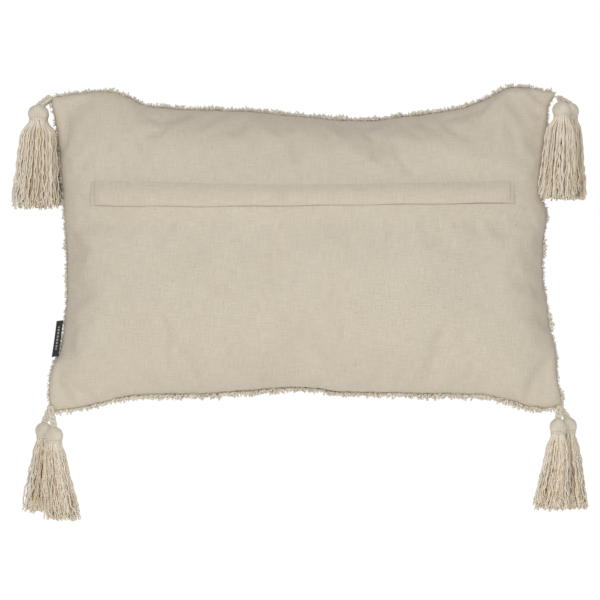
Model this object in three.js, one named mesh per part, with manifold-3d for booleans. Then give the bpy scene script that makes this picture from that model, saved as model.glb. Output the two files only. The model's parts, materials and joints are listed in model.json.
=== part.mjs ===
// A lumbar throw pillow that hangs upright, in millimetres.
// +Z is up, +X is to the right of someone who looks at the zipped back, and that back faces -Y.
// It is built about the middle of the cushion and then lowered, so that the origin is the middle
// of the top seam, which holds it up. Y = 0 is the plane of the side seams.
import * as THREE from "three";
import { mergeVertices } from "three/addons/utils/BufferGeometryUtils.js";
import Module from "manifold-3d";

// Cushion outline: the seam's four corners, and how far each edge draws in between them.
const cornerWidth = 536;
const cornerHeight = 330;
const topSag = 26;
const bottomSag = 16;
const sideSag = 17;

// Cushion depth, from the seam plane to the cloth at the middle of each face. endCrown is what
// the ridge keeps of the back's depth out at the corners.
const backCrown = 68;
const frontCrown = 66;
const endCrown = 24;
const restHalfWidth = 34;
const flatShare = 0.21;
const faceRoundness = 0.6;
const endSquareness = 16;

// Each cloth's grid: cells from the middle to an edge, and the half width of the flat middle cell.
const columnCells = 7;
const backColumnCells = 8;
const middleColumn = 0.12;
const rowCells = 5;
const middleRow = 0.15;
const planPasses = 14;

// Cloths and pile.
const canvas = 1.4;
const seamGap = 0.3;
const layerGap = 0.5;
const pileHeight = 8;
const pileEdge = 3;
const pileOverhang = 5;
const casing = 0.8;
const casingInset = 9;
const fillingBack = 7;
const fillingRim = 0.4;
const zipRoom = 9;

// Zip: a coil chain that follows the cushion's bow under a sewn flap.
const zipEndMargin = 42;
const zipZ = 55;
const openingWidth = 10;
const closedStretch = 14;
const tapeWidth = 12;
const tapeThickness = 0.6;
const tapeSeat = 0.9;
const chainHeight = 2;
const chainWidth = 2.2;
const chainCells = 24;
const sliderLength = 10;
const sliderWidth = 8;
const sliderPlate = 0.9;
const sliderWeb = 0.6;
const sliderLip = 0.8;
const runningGap = 0.3;
const stopLength = 3;
const bridgeWidth = 1.6;
const bridgeLength = 5.6;
const bridgeThickness = 0.8;
const pullerLength = 16;
const pullerWidth = 4.6;
const pullerThickness = 1;
const pullerLift = 0.6;
const pullerBar = 1;
const pullerEyeLength = 3.4;
const pullerEyeWidth = 2.6;
const flapOverrun = 9;
const flapTopZ = 68;
const flapBottomZ = 47;
const flapCloth = 1.6;
const flapStandOff = 4.2;
const flapStandOffRows = 2;

// Woven label in the left side seam.
const labelLength = 38;
const labelReach = 7;
const labelThickness = 0.8;
const labelTopZ = -72;

// Tassels: two on each corner, one towards the back panel and one towards the pile.
const cordRadius = 1.7;
const loopHalfWidth = 2.6;
const headRadius = 9.3;
const neckRadius = 5.6;
const neckLength = 4.4;
const tieThickness = 1.5;
const tieRounding = 0.4;
const skirtLength = 82;
const skirtHalfWidth = 19.5;
const skirtHalfDepth = 8.5;
const shoulderHalfWidth = 9.6;
const shoulderHalfDepth = 7.4;
const shoulderDrop = 9;
const loopClearance = 0.65;
const loopSeatInset = 1;
const topSeatDrop = 3;
const bottomSeatRise = 2;
const roundSides = 14;
const skirtFlare = 0.8;

// side and level pick the corner. out is the head's distance beyond the corner, away from the
// cushion, depth is its place along Y, and drop is how far its centre hangs below the corner.
const tassels = [
  { name: "top_left_back", side: -1, level: 1, out: 11, depth: -12, drop: 21 },
  { name: "top_left_front", side: -1, level: 1, out: 11, depth: 15, drop: 20 },
  { name: "top_right_back", side: 1, level: 1, out: 0, depth: -19, drop: 18 },
  { name: "top_right_front", side: 1, level: 1, out: 12, depth: 15, drop: 17 },
  { name: "bottom_left_back", side: -1, level: -1, out: -6, depth: -10.5, drop: 28 },
  { name: "bottom_left_front", side: -1, level: -1, out: 7, depth: 11.5, drop: 24 },
  { name: "bottom_right_back", side: 1, level: -1, out: -3, depth: -10.5, drop: 19 },
  { name: "bottom_right_front", side: 1, level: -1, out: 10, depth: 11.5, drop: 19 },
];

const colours = {
  canvas: 0xcdc4b1,
  pile: 0xd9cfbb,
  yarn: 0xd8cfbe,
  cord: 0xdcd2be,
  casing: 0xf2f0ea,
  filling: 0xf7f6f2,
  tape: 0xc9bfa9,
  coil: 0xb9ae98,
  metal: 0xa9a9a6,
  label: 0x17171a,
};

const wasm = await Module();
wasm.setup();

const pillow = new THREE.Group();

function add(name, geometry, colour, roughness = 0.95, metalness = 0) {
  const material = new THREE.MeshStandardMaterial({ color: colour, roughness, metalness });
  const mesh = new THREE.Mesh(geometry, material);
  mesh.name = name;
  pillow.add(mesh);
  return mesh;
}

// ---- Cushion surfaces -------------------------------------------------------------------------

// Half the cushion's width at a height z, for an outline drawn in by inset or fuller by fill.
function halfWidthAt(z, inset = 0, fill = 0) {
  const rise = Math.min(1, Math.abs(z) / (cornerHeight / 2));
  return cornerWidth / 2 - inset - (sideSag - fill) * (1 - rise ** 2);
}

// The top edge's height over x, or with level -1 the bottom edge's depth below the origin.
function halfHeightAt(x, level, inset = 0, fill = 0) {
  const across = Math.min(1, Math.abs(x) / (cornerWidth / 2));
  const sag = level > 0 ? topSag : bottomSag;
  return cornerHeight / 2 - inset - (sag - fill) * (1 - across ** 2);
}

// The ridge's bow along the cushion: 1 over the flat patch, falling to endCrown at the corners.
function ridgeBow(x) {
  const past = Math.max(0, Math.abs(x) - restHalfWidth) / (cornerWidth / 2 - restHalfWidth);
  return 1 - (1 - endCrown / backCrown) * past ** 2;
}

// From 0 on the seam to 1 at the middle of a face, which is flat where the pillow would rest.
function swell(x, z, inset = 0, fill = 0) {
  const across = Math.min(1, Math.abs(x) / halfWidthAt(z, inset, fill));
  const up = Math.min(1, Math.abs(z) / halfHeightAt(x, Math.sign(z) || 1, inset, fill));
  const ends = Math.sqrt(1 - across ** endSquareness);
  const slope = Math.max(0, (up - flatShare) / (1 - flatShare));
  return ridgeBow(x) * ends * (1 - slope ** 2) ** faceRoundness;
}

// Grid lines from -1 to 1, closer together towards the seams, with a plain cell in the middle.
function spread(count, middle) {
  const lines = [];
  for (let step = 0; step <= count; step += 1) {
    lines.push(middle + (1 - middle) * Math.sin((Math.PI / 2) * (step / count)));
  }
  return [...lines.map((line) => -line).reverse(), ...lines];
}

// Grid lines from 0 to 1, closer together towards 1.
function spreadUp(count) {
  return Array.from({ length: count + 1 }, (_, step) => Math.sin((Math.PI / 2) * (step / count)));
}

// A point of the cushion's plan: s from side to side, t from the low edge to the high edge.
function planPoint(s, t, low, high, inset = 0, fill = 0) {
  let x = (s * cornerWidth) / 2;
  let z = 0;
  for (let pass = 0; pass < planPasses; pass += 1) {
    z = low(x) + (high(x) - low(x)) * t;
    x = s * halfWidthAt(z, inset, fill);
  }
  return [x, z];
}

// A closed solid between two grids of points that share the same columns and rows.
function between(columns, rows, outer, inner) {
  const positions = [];
  const index = [];
  const width = rows + 1;
  for (const side of [outer, inner]) {
    for (let i = 0; i <= columns; i += 1) {
      for (let j = 0; j <= rows; j += 1) {
        positions.push(...side(i, j));
      }
    }
  }
  const lift = (columns + 1) * width;
  const quad = (a, b, c, d) => index.push(a, b, c, a, c, d);
  for (let i = 0; i < columns; i += 1) {
    for (let j = 0; j < rows; j += 1) {
      const a = i * width + j;
      const b = a + width;
      quad(a, b, b + 1, a + 1);
      quad(lift + a, lift + a + 1, lift + b + 1, lift + b);
    }
  }
  for (let i = 0; i < columns; i += 1) {
    const a = i * width;
    const b = a + width;
    quad(a, lift + a, lift + b, b);
    quad(a + rows, b + rows, lift + b + rows, lift + a + rows);
  }
  for (let j = 0; j < rows; j += 1) {
    const last = columns * width;
    quad(j, j + 1, lift + j + 1, lift + j);
    quad(last + j, lift + last + j, lift + last + j + 1, last + j + 1);
  }
  const geometry = new THREE.BufferGeometry();
  geometry.setAttribute("position", new THREE.Float32BufferAttribute(positions, 3));
  geometry.setIndex(index);
  return turnedOutward(geometry);
}

function turnedOutward(geometry) {
  const place = geometry.attributes.position;
  const index = geometry.index.array;
  const corner = [new THREE.Vector3(), new THREE.Vector3(), new THREE.Vector3()];
  let volume = 0;
  for (let k = 0; k < index.length; k += 3) {
    corner.forEach((point, n) => point.fromBufferAttribute(place, index[k + n]));
    volume += corner[0].dot(corner[1].cross(corner[2]));
  }
  if (volume < 0) {
    for (let k = 0; k < index.length; k += 3) {
      [index[k], index[k + 1]] = [index[k + 1], index[k]];
    }
  }
  return geometry;
}

// A cloth, pad or pile spread over the cushion's plan. facing is -1 on the back and 1 on the
// front, and outerY and innerY give each surface's distance from the seam plane for a swell.
function spreadCloth({ facing, sLines, tLines, low, high, inset = 0, fill = 0, outerY, innerY }) {
  const points = sLines.map((s) =>
    tLines.map((t) => {
      const [x, z] = planPoint(s, t, low, high, inset, fill);
      return { x, z, rise: swell(x, z, inset, fill) };
    })
  );
  const surface = (depth) => (i, j) => {
    const { x, z, rise } = points[i][j];
    return [x, facing * depth(rise), z];
  };
  return between(sLines.length - 1, tLines.length - 1, surface(outerY), surface(innerY));
}

// Both edges of an outline drawn in by inset or fuller by fill.
function edges(inset = 0, fill = 0) {
  return {
    low: (x) => -halfHeightAt(x, -1, inset, fill),
    high: (x) => halfHeightAt(x, 1, inset, fill),
  };
}

const across = spread(columnCells, middleColumn);
const upDown = spread(rowCells, middleRow).map((line) => (line + 1) / 2);
const fromSeam = seamGap / 2;

// ---- Front: tufted base cloth and its pile ----------------------------------------------------

add(
  "front_base_cloth",
  spreadCloth({
    facing: 1,
    sLines: across,
    tLines: upDown,
    ...edges(),
    outerY: (rise) => fromSeam + canvas + (frontCrown - canvas - fromSeam) * rise,
    innerY: (rise) => fromSeam + (frontCrown - canvas - fromSeam) * rise,
  }),
  colours.canvas
);

const pileFoot = fromSeam + canvas + seamGap;
const pileTip = pileFoot + pileEdge;
const pileOuter = (rise) => pileTip + (frontCrown + layerGap + pileHeight - pileTip) * rise;
const pileInner = (rise) => pileFoot + (frontCrown + layerGap - pileFoot) * rise;
add(
  "front_pile",
  spreadCloth({
    facing: 1,
    sLines: across,
    tLines: upDown,
    ...edges(0, pileOverhang),
    fill: pileOverhang,
    outerY: pileOuter,
    innerY: pileInner,
  }),
  colours.pile,
  1
);

// ---- Back: two canvas panels that part along the zip ------------------------------------------

const sideAtZip = halfWidthAt(zipZ);
const zipHalf = sideAtZip - zipEndMargin;
const zipLines = [-1, 1].flatMap((way) =>
  [zipHalf, zipHalf + closedStretch].map((reach) => (way * reach) / sideAtZip)
);
const backAcross = [...spread(backColumnCells, middleColumn), ...zipLines].sort((a, b) => a - b);
const zipShare = zipZ / (cornerHeight / 2 - topSag);
const tapeShare = (tapeWidth - openingWidth / 2) / (cornerHeight / 2 - topSag - zipZ);

// Half the gap between the two panels: open along the zip and sewn shut beyond its ends.
function halfOpening(x) {
  const past = Math.abs(x) - zipHalf;
  const shut = THREE.MathUtils.clamp(past / (closedStretch / 2), 0, 1);
  return THREE.MathUtils.lerp(openingWidth / 2, seamGap / 2, shut);
}

const backOuter = (rise) => fromSeam + canvas + (backCrown - canvas - fromSeam) * rise;
const backInner = (rise) => fromSeam + (backCrown - canvas - fromSeam) * rise;

add(
  "back_panel_upper",
  spreadCloth({
    facing: -1,
    sLines: backAcross,
    tLines: [0, tapeShare, ...spreadUp(rowCells).slice(1)],
    low: (x) => zipZ + halfOpening(x),
    high: edges().high,
    outerY: backOuter,
    innerY: backInner,
  }),
  colours.canvas
);

const lowerLines = spread(rowCells, middleRow)
  .map((line) => (line + 1) / (zipShare + 1))
  .filter((line) => line < 1 - tapeShare);
add(
  "back_panel_lower",
  spreadCloth({
    facing: -1,
    sLines: backAcross,
    tLines: [...lowerLines, 1 - tapeShare / 2, 1],
    low: edges().low,
    high: (x) => zipZ - halfOpening(x),
    outerY: backOuter,
    innerY: backInner,
  }),
  colours.canvas
);

// ---- Inner cushion: sewn casing and its fibre filling -----------------------------------------

const casingCrown = {
  front: frontCrown - canvas - layerGap,
  back: backCrown - canvas - zipRoom,
};
for (const [side, facing] of [["front", 1], ["back", -1]]) {
  add(
    `inner_casing_${side}`,
    spreadCloth({
      facing,
      sLines: across,
      tLines: upDown,
      ...edges(casingInset),
      inset: casingInset,
      outerY: (rise) => fromSeam + casing + (casingCrown[side] - casing - fromSeam) * rise,
      innerY: (rise) => fromSeam + (casingCrown[side] - casing - fromSeam) * rise,
    }),
    colours.casing,
    0.9
  );
}

const fillingInset = casingInset + fillingBack;
const fillingCrown = (side) => casingCrown[side] - casing - layerGap;
{
  const outline = edges(fillingInset);
  const points = across.map((s) =>
    upDown.map((t) => {
      const [x, z] = planPoint(s, t, outline.low, outline.high, fillingInset);
      return { x, z, rise: swell(x, z, fillingInset) };
    })
  );
  const face = (side, facing) => (i, j) => {
    const { x, z, rise } = points[i][j];
    return [x, facing * (fillingRim + (fillingCrown(side) - fillingRim) * rise), z];
  };
  const columns = across.length - 1;
  const rows = upDown.length - 1;
  add("filling", between(columns, rows, face("front", 1), face("back", -1)), colours.filling, 1);
}

// ---- Zip --------------------------------------------------------------------------------------

// The zip's mid-plane is an arc about a vertical axis at Y = zipAxisY. It lies tapeSeat under the
// upper panel's edge at the zip's middle and its ends.
const depthAtZip = (x) => backInner(swell(x, zipZ + openingWidth / 2));
const zipBow = depthAtZip(0) - depthAtZip(zipHalf);
const zipRadius = (zipHalf ** 2 + zipBow ** 2) / (2 * zipBow);
const tapePlane = depthAtZip(0) - tapeSeat - tapeThickness / 2;
const zipAxisY = zipRadius - tapePlane;

// A point at a distance along the zip from its middle, raised off the mid-plane towards -Y.
function onZip(along, raised, z) {
  const turn = along / zipRadius;
  const reach = zipRadius + raised;
  return [reach * Math.sin(turn), zipAxisY - reach * Math.cos(turn), z];
}

// A strip of the zip from start to end, between two heights and two offsets from its mid-plane.
function zipStrip(start, end, lowZ, highZ, under, over, columns) {
  const along = (i) => start + ((end - start) * i) / columns;
  const z = (j) => (j === 0 ? lowZ : highZ);
  return between(
    columns,
    1,
    (i, j) => onZip(along(i), over, z(j)),
    (i, j) => onZip(along(i), under, z(j))
  );
}

const halfWeb = sliderWeb / 2 + runningGap;
const chainEnd = zipHalf - stopLength - seamGap;
const tapeHalf = zipHalf + closedStretch / 2;
for (const [name, way] of [["upper", 1], ["lower", -1]]) {
  const heights = (near, far) => [zipZ + way * near, zipZ + way * far].sort((a, b) => a - b);
  const chainFar = halfWeb + chainWidth;
  const chain = heights(halfWeb, chainFar);
  add(
    `zip_chain_${name}`,
    zipStrip(-chainEnd, chainEnd, ...chain, -chainHeight / 2, chainHeight / 2, chainCells),
    colours.coil,
    0.6
  );
  const rowsInSlider = 2;
  const tapeRows = [chainFar + seamGap, (sliderWidth + openingWidth) / 4, tapeWidth / 2, tapeWidth];
  const tapeSurface = (lift) => (i, j) => {
    const along = tapeHalf * ((2 * i) / chainCells - 1);
    const z = zipZ + way * tapeRows[j];
    const [x, y] = onZip(along, lift, z);
    const underPanel = backInner(swell(x, z)) - tapeSeat - tapeThickness / 2 + lift;
    return [x, j < rowsInSlider ? y : -Math.min(-y, underPanel), z];
  };
  const tapeOver = tapeSurface(tapeThickness / 2);
  const tapeUnder = tapeSurface(-tapeThickness / 2);
  const tape = between(chainCells, tapeRows.length - 1, tapeOver, tapeUnder);
  add(`zip_tape_${name}`, tape, colours.tape);
}

// Solid stops that close the chain at both ends.
for (const [name, way] of [["bottom", -1], ["top", 1]]) {
  const ends = [way * (chainEnd + seamGap), way * zipHalf].sort((a, b) => a - b);
  const halfStop = halfWeb + chainWidth;
  add(
    `zip_stop_${name}`,
    zipStrip(...ends, zipZ - halfStop, zipZ + halfStop, -chainHeight / 2, chainHeight / 2, 1),
    colours.metal,
    0.4,
    0.9
  );
}

function asManifold(geometry) {
  const plain = geometry.clone();
  plain.deleteAttribute("normal");
  plain.deleteAttribute("uv");
  const merged = mergeVertices(plain, 1e-4);
  const mesh = new wasm.Mesh({
    numProp: 3,
    vertProperties: new Float32Array(merged.attributes.position.array),
    triVerts: new Uint32Array(merged.index.array),
  });
  return new wasm.Manifold(mesh);
}

function asGeometry(solid) {
  const mesh = solid.getMesh();
  const geometry = new THREE.BufferGeometry();
  geometry.setAttribute("position", new THREE.BufferAttribute(new Float32Array(mesh.vertProperties), 3));
  geometry.setIndex(new THREE.BufferAttribute(new Uint32Array(mesh.triVerts), 1));
  return geometry;
}

function block(length, depth, height, x, y, z) {
  return asManifold(new THREE.BoxGeometry(length, depth, height).translate(x, y, z));
}

// The slider's own frame: X along the zip, -Y off the cushion, Z up, origin on the mid-plane.
const plateInner = chainHeight / 2 + runningGap;
const plateOuter = plateInner + sliderPlate;
const lipInner = tapeThickness / 2 + runningGap;
const barCentre = plateOuter + pullerLift + pullerThickness / 2;
const bridgeInner = barCentre + pullerThickness / 2 + runningGap;
const bridgeOuter = bridgeInner + bridgeThickness;
let slider = block(sliderLength, 2 * plateOuter, sliderWeb, 0, 0, 0);
for (const way of [-1, 1]) {
  const plateY = (way * (plateInner + plateOuter)) / 2;
  slider = slider.add(block(sliderLength, sliderPlate, sliderWidth, 0, plateY, 0));
  for (const edge of [-1, 1]) {
    const lipY = (way * (lipInner + plateOuter)) / 2;
    const lipZ = (edge * (sliderWidth - sliderLip)) / 2;
    slider = slider.add(block(sliderLength, plateOuter - lipInner, sliderLip, 0, lipY, lipZ));
  }
  const footX = (way * (bridgeLength - bridgeThickness)) / 2;
  const footY = -(plateInner + bridgeOuter) / 2;
  slider = slider.add(block(bridgeThickness, bridgeOuter - plateInner, bridgeWidth, footX, footY, 0));
}
const barY = -(bridgeInner + bridgeOuter) / 2;
slider = slider.add(block(bridgeLength, bridgeThickness, bridgeWidth, 0, barY, 0));

// The puller lies along the chain, away from the top stop, with its bar under the bridge.
const pullerOutline = new THREE.Shape();
const tabStart = pullerBar / 2;
pullerOutline.moveTo(tabStart, -pullerWidth / 2);
pullerOutline.lineTo(tabStart, pullerWidth / 2);
pullerOutline.lineTo(tabStart - pullerLength + pullerWidth / 2, pullerWidth / 2);
pullerOutline.absarc(
  tabStart - pullerLength + pullerWidth / 2,
  0,
  pullerWidth / 2,
  Math.PI / 2,
  (3 * Math.PI) / 2
);
pullerOutline.closePath();
const eye = new THREE.Path();
const eyeEnd = -pullerBar / 2;
eye.moveTo(eyeEnd, -pullerEyeWidth / 2);
eye.lineTo(eyeEnd - pullerEyeLength, -pullerEyeWidth / 2);
eye.lineTo(eyeEnd - pullerEyeLength, pullerEyeWidth / 2);
eye.lineTo(eyeEnd, pullerEyeWidth / 2);
eye.closePath();
pullerOutline.holes.push(eye);
const pullerGeometry = new THREE.ExtrudeGeometry(pullerOutline, {
  depth: pullerThickness,
  bevelEnabled: false,
  curveSegments: 8,
});
pullerGeometry.rotateX(Math.PI / 2);
pullerGeometry.translate(0, -barCentre + pullerThickness / 2, 0);

const sliderAlong = chainEnd - sliderLength / 2 - seamGap;
const sliderMesh = add("zip_slider", asGeometry(slider), colours.metal, 0.35, 0.9);
const pullerMesh = add("zip_puller", pullerGeometry, colours.metal, 0.35, 0.9);
for (const mesh of [sliderMesh, pullerMesh]) {
  mesh.position.set(...onZip(sliderAlong, 0, zipZ));
  mesh.rotation.z = sliderAlong / zipRadius;
}

// The flap: sewn along its top edge over the upper panel, standing off the slider below.
{
  const columns = 24;
  const rows = 3;
  const flapPoint = (thickness) => (i, j) => {
    const x = 2 * (zipHalf + flapOverrun) * (i / columns - 0.5);
    const z = flapTopZ + (flapBottomZ - flapTopZ) * (j / rows);
    const cloth = backOuter(swell(x, z));
    const lift = Math.min(1, j / flapStandOffRows);
    const standOff = THREE.MathUtils.lerp(2 * seamGap, flapStandOff, lift);
    return [x, -(cloth + standOff + thickness), z];
  };
  add("zip_flap", between(columns, rows, flapPoint(flapCloth), flapPoint(0)), colours.canvas);
}

// ---- Label ------------------------------------------------------------------------------------

{
  const rows = 4;
  const labelPoint = (y) => (i, j) => {
    const z = labelTopZ - labelLength * (j / rows);
    return [-halfWidthAt(z) - seamGap - labelReach * i, y, z];
  };
  const labelBack = -fromSeam - labelThickness;
  add("side_label", between(1, rows, labelPoint(labelBack), labelPoint(-fromSeam)), colours.label, 0.7);
}

// ---- Tassels ----------------------------------------------------------------------------------

// A round solid of elliptical rings, each given as a height, a half width and a half depth.
function ringStack(rings, sides = roundSides) {
  const positions = [];
  const index = [];
  for (const { z, halfWidth, halfDepth } of rings) {
    for (let k = 0; k < sides; k += 1) {
      const turn = (2 * Math.PI * k) / sides;
      positions.push(halfWidth * Math.cos(turn), halfDepth * Math.sin(turn), z);
    }
  }
  const top = rings.length * sides;
  positions.push(0, 0, rings[0].z, 0, 0, rings[rings.length - 1].z);
  for (let k = 0; k < sides; k += 1) {
    const next = (k + 1) % sides;
    for (let r = 0; r < rings.length - 1; r += 1) {
      const here = r * sides;
      const below = here + sides;
      index.push(here + k, below + k, below + next, here + k, below + next, here + next);
    }
    const last = (rings.length - 1) * sides;
    index.push(top, k, next, top + 1, last + next, last + k);
  }
  const geometry = new THREE.BufferGeometry();
  geometry.setAttribute("position", new THREE.Float32BufferAttribute(positions, 3));
  geometry.setIndex(index);
  return turnedOutward(geometry);
}

// The cord loop: a closed tube from its seat on the corner to just above the tassel's head.
function cordLoop(seat, end) {
  const down = end.clone().sub(seat);
  const length = down.length();
  down.normalize();
  const sideways = new THREE.Vector3(1, 0, 0);
  sideways.addScaledVector(down, -sideways.dot(down)).normalize();
  const points = [];
  const bend = Math.min(loopHalfWidth, length / 2);
  for (const [centre, start] of [[bend, Math.PI], [length - bend, 0]]) {
    for (const share of [0, 0.25, 0.5, 0.75, 1]) {
      const turn = start + Math.PI * share;
      const point = seat.clone().addScaledVector(down, centre + bend * Math.sin(turn));
      points.push(point.addScaledVector(sideways, loopHalfWidth * Math.cos(turn)));
    }
  }
  const path = new THREE.CatmullRomCurve3(points, true, "centripetal");
  const tube = new THREE.TubeGeometry(path, 20, cordRadius, 6, true);
  tube.deleteAttribute("normal");
  tube.deleteAttribute("uv");
  return mergeVertices(tube, 1e-3);
}

// A head of smooth yarn over a ball, flat underneath where the neck enters the tie.
function headProfile() {
  const points = [];
  const neckTurn = Math.asin(neckRadius / headRadius);
  const steps = roundSides / 2;
  for (let step = 0; step <= steps; step += 1) {
    const turn = (Math.PI - neckTurn) * (step / steps);
    points.push(new THREE.Vector2(headRadius * Math.sin(turn), headRadius * Math.cos(turn)));
  }
  points.push(new THREE.Vector2(0, headRadius * Math.cos(Math.PI - neckTurn)));
  return points.reverse();
}

const headFlat = -headRadius * Math.cos(Math.asin(neckRadius / headRadius));
const skirtTop = headFlat - seamGap;
const skirtRings = [
  { z: skirtTop, halfWidth: neckRadius, halfDepth: neckRadius },
  { z: skirtTop - neckLength, halfWidth: neckRadius, halfDepth: neckRadius },
  { z: skirtTop - shoulderDrop, halfWidth: shoulderHalfWidth, halfDepth: shoulderHalfDepth },
  ...[0.35, 0.7, 1].map((share) => ({
    z: skirtTop - shoulderDrop - (skirtLength - shoulderDrop) * share,
    halfWidth: THREE.MathUtils.lerp(shoulderHalfWidth, skirtHalfWidth, share ** skirtFlare),
    halfDepth: THREE.MathUtils.lerp(shoulderHalfDepth, skirtHalfDepth, share ** skirtFlare),
  })),
];

const tieInner = neckRadius + seamGap;
const tieOuter = tieInner + tieThickness;
const tieTop = skirtTop;
const tieBottom = skirtTop - neckLength + seamGap;
const tieProfile = [
  [tieInner, tieBottom],
  [tieOuter - tieRounding, tieBottom],
  [tieOuter, (tieTop + tieBottom) / 2],
  [tieOuter - tieRounding, tieTop],
  [tieInner, tieTop],
  [tieInner, tieBottom],
].map(([radius, z]) => new THREE.Vector2(radius, z));

function turned(profile) {
  const geometry = new THREE.LatheGeometry(profile, roundSides).rotateX(Math.PI / 2);
  geometry.deleteAttribute("normal");
  geometry.deleteAttribute("uv");
  return turnedOutward(mergeVertices(geometry, 1e-4));
}

for (const { name, side, level, out, depth, drop } of tassels) {
  const cornerZ = (level * cornerHeight) / 2;
  const cornerX = (side * cornerWidth) / 2;
  const centre = new THREE.Vector3(cornerX + side * out, depth, cornerZ - drop);
  const seatX = cornerX - side * loopSeatInset;
  const seatZ = cornerZ + (level > 0 ? -topSeatDrop : bottomSeatRise);
  const seatRise = swell(seatX, seatZ);
  const faceY = depth < 0 ? -backOuter(seatRise) : pileOuter(seatRise);
  const seatY = faceY + Math.sign(depth) * (seamGap + cordRadius);
  const seat = new THREE.Vector3(seatX, seatY, seatZ);
  const loopEnd = centre.clone();
  loopEnd.z += headRadius + loopClearance + cordRadius;
  add(`loop_${name}`, cordLoop(seat, loopEnd), colours.cord);
  const pieces = [
    add(`head_${name}`, turned(headProfile()), colours.yarn),
    add(`neck_tie_${name}`, turned(tieProfile), colours.yarn),
    add(`skirt_${name}`, ringStack(skirtRings), colours.yarn),
  ];
  pieces.forEach((piece) => piece.position.copy(centre));
}

// Lower everything so that the middle of the top seam is the origin.
pillow.position.z = -halfHeightAt(0, 1);

export default pillow;
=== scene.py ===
import json
import math
from functools import partial

import bmesh
import bpy
import numpy as np
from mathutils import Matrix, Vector
from mathutils.bvhtree import BVHTree

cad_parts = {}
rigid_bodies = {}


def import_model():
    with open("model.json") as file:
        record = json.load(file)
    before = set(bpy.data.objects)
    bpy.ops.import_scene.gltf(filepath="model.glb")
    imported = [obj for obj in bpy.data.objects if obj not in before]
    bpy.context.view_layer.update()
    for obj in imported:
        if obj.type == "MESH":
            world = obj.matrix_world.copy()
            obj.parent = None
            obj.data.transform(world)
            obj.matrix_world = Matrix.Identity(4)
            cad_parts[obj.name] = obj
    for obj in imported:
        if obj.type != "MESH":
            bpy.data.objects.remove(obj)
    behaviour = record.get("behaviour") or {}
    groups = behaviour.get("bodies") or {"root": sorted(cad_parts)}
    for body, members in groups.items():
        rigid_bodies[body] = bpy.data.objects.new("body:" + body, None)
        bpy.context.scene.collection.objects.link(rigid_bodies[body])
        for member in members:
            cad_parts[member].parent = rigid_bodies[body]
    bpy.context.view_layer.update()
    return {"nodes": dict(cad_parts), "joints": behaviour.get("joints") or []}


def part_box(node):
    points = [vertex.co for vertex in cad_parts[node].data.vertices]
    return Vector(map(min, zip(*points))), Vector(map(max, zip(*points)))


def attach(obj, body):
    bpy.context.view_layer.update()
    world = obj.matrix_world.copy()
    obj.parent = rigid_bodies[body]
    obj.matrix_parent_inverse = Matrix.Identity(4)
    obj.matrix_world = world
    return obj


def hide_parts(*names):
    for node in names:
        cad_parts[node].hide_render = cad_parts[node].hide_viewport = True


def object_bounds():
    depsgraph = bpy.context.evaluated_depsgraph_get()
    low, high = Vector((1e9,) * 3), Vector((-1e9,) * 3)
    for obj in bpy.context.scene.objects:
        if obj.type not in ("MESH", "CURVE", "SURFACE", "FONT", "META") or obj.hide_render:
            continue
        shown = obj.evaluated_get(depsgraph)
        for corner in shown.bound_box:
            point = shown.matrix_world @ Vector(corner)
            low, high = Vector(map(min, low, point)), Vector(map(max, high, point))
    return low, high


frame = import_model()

scene = bpy.context.scene
MM = 0.001

# ---- The cushion's shape -----------------------------------------------------------------------
# A rectangular cover, drawn in along its edges by a filling that rounds out both faces. The seam
# runs round its outline, and each corner keeps the small ear that stuffing never fills.

cover_low, cover_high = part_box("front_base_cloth")
centre_z = (cover_low.z + cover_high.z) / 2
half_width = cover_high.x
back_crown = -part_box("back_panel_lower")[0].y
front_crown = cover_high.y
end_crown = 24 / 68  # the ends' crown as a share of the middle's
flat_half_width = 34 * MM
flat_share = 0.21
face_roundness = 0.6
end_squareness = 16
zip_z = 55 * MM
opening = 10 * MM
zip_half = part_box("zip_stop_top")[1].x

# The seam's outline in millimetres about the cushion's centre, from corner to corner.
top_edge = [(-269, 162.5), (-238, 167), (-206, 168.5), (-186, 163), (-163, 154), (-110, 150),
            (-58, 148), (-5, 142.5), (60, 138), (100, 142), (152, 149), (184, 158), (203, 167),
            (216, 172.5), (240, 172), (266, 168)]
bottom_edge = [(-266, -169), (-240, -165), (-215, -160), (-184, -153), (-152, -150.5),
               (-110, -150), (-68, -147.5), (-5, -143.5), (37, -148), (90, -149.5),
               (142, -149.5), (184, -151.5), (208, -155), (236, -162.5), (255, -165), (271, -163)]
left_edge = [(-266, -169), (-270, -150), (-268, -130), (-263.5, -116), (-258.5, -104),
             (-254, -72), (-251.5, -40), (-252, 2), (-254, 49), (-257, 90), (-262, 130),
             (-269, 162.5)]
right_edge = [(271, -163), (270, -150), (266, -129), (264, -103), (259.5, -77), (256, -51),
              (252, -19), (252, 16), (254.5, 50), (249.5, 70), (252.5, 105), (256, 134),
              (257, 152), (266, 168)]


def smooth_line(points, count):
    """Evenly spaced points, in metres, along a smooth curve through a few in millimetres."""
    points = np.array(points, float) * MM
    padded = np.vstack([2 * points[0] - points[1], points, 2 * points[-1] - points[-2]])
    fine = []
    for a, b, c, d in zip(padded, padded[1:], padded[2:], padded[3:]):
        t = np.linspace(0, 1, 24, endpoint=False)[:, None]
        fine.append(
            0.5 * (2 * b + (c - a) * t + (2 * a - 5 * b + 4 * c - d) * t**2
                   + (3 * b - a - 3 * c + d) * t**3)
        )
    fine = np.vstack([*fine, points[-1:]])
    steps = np.linalg.norm(np.diff(fine, axis=0), axis=1)
    along = np.concatenate([[0], np.cumsum(steps)])
    at = np.linspace(0, along[-1], count)
    return np.column_stack([np.interp(at, along, fine[:, k]) for k in range(fine.shape[1])])


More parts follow.
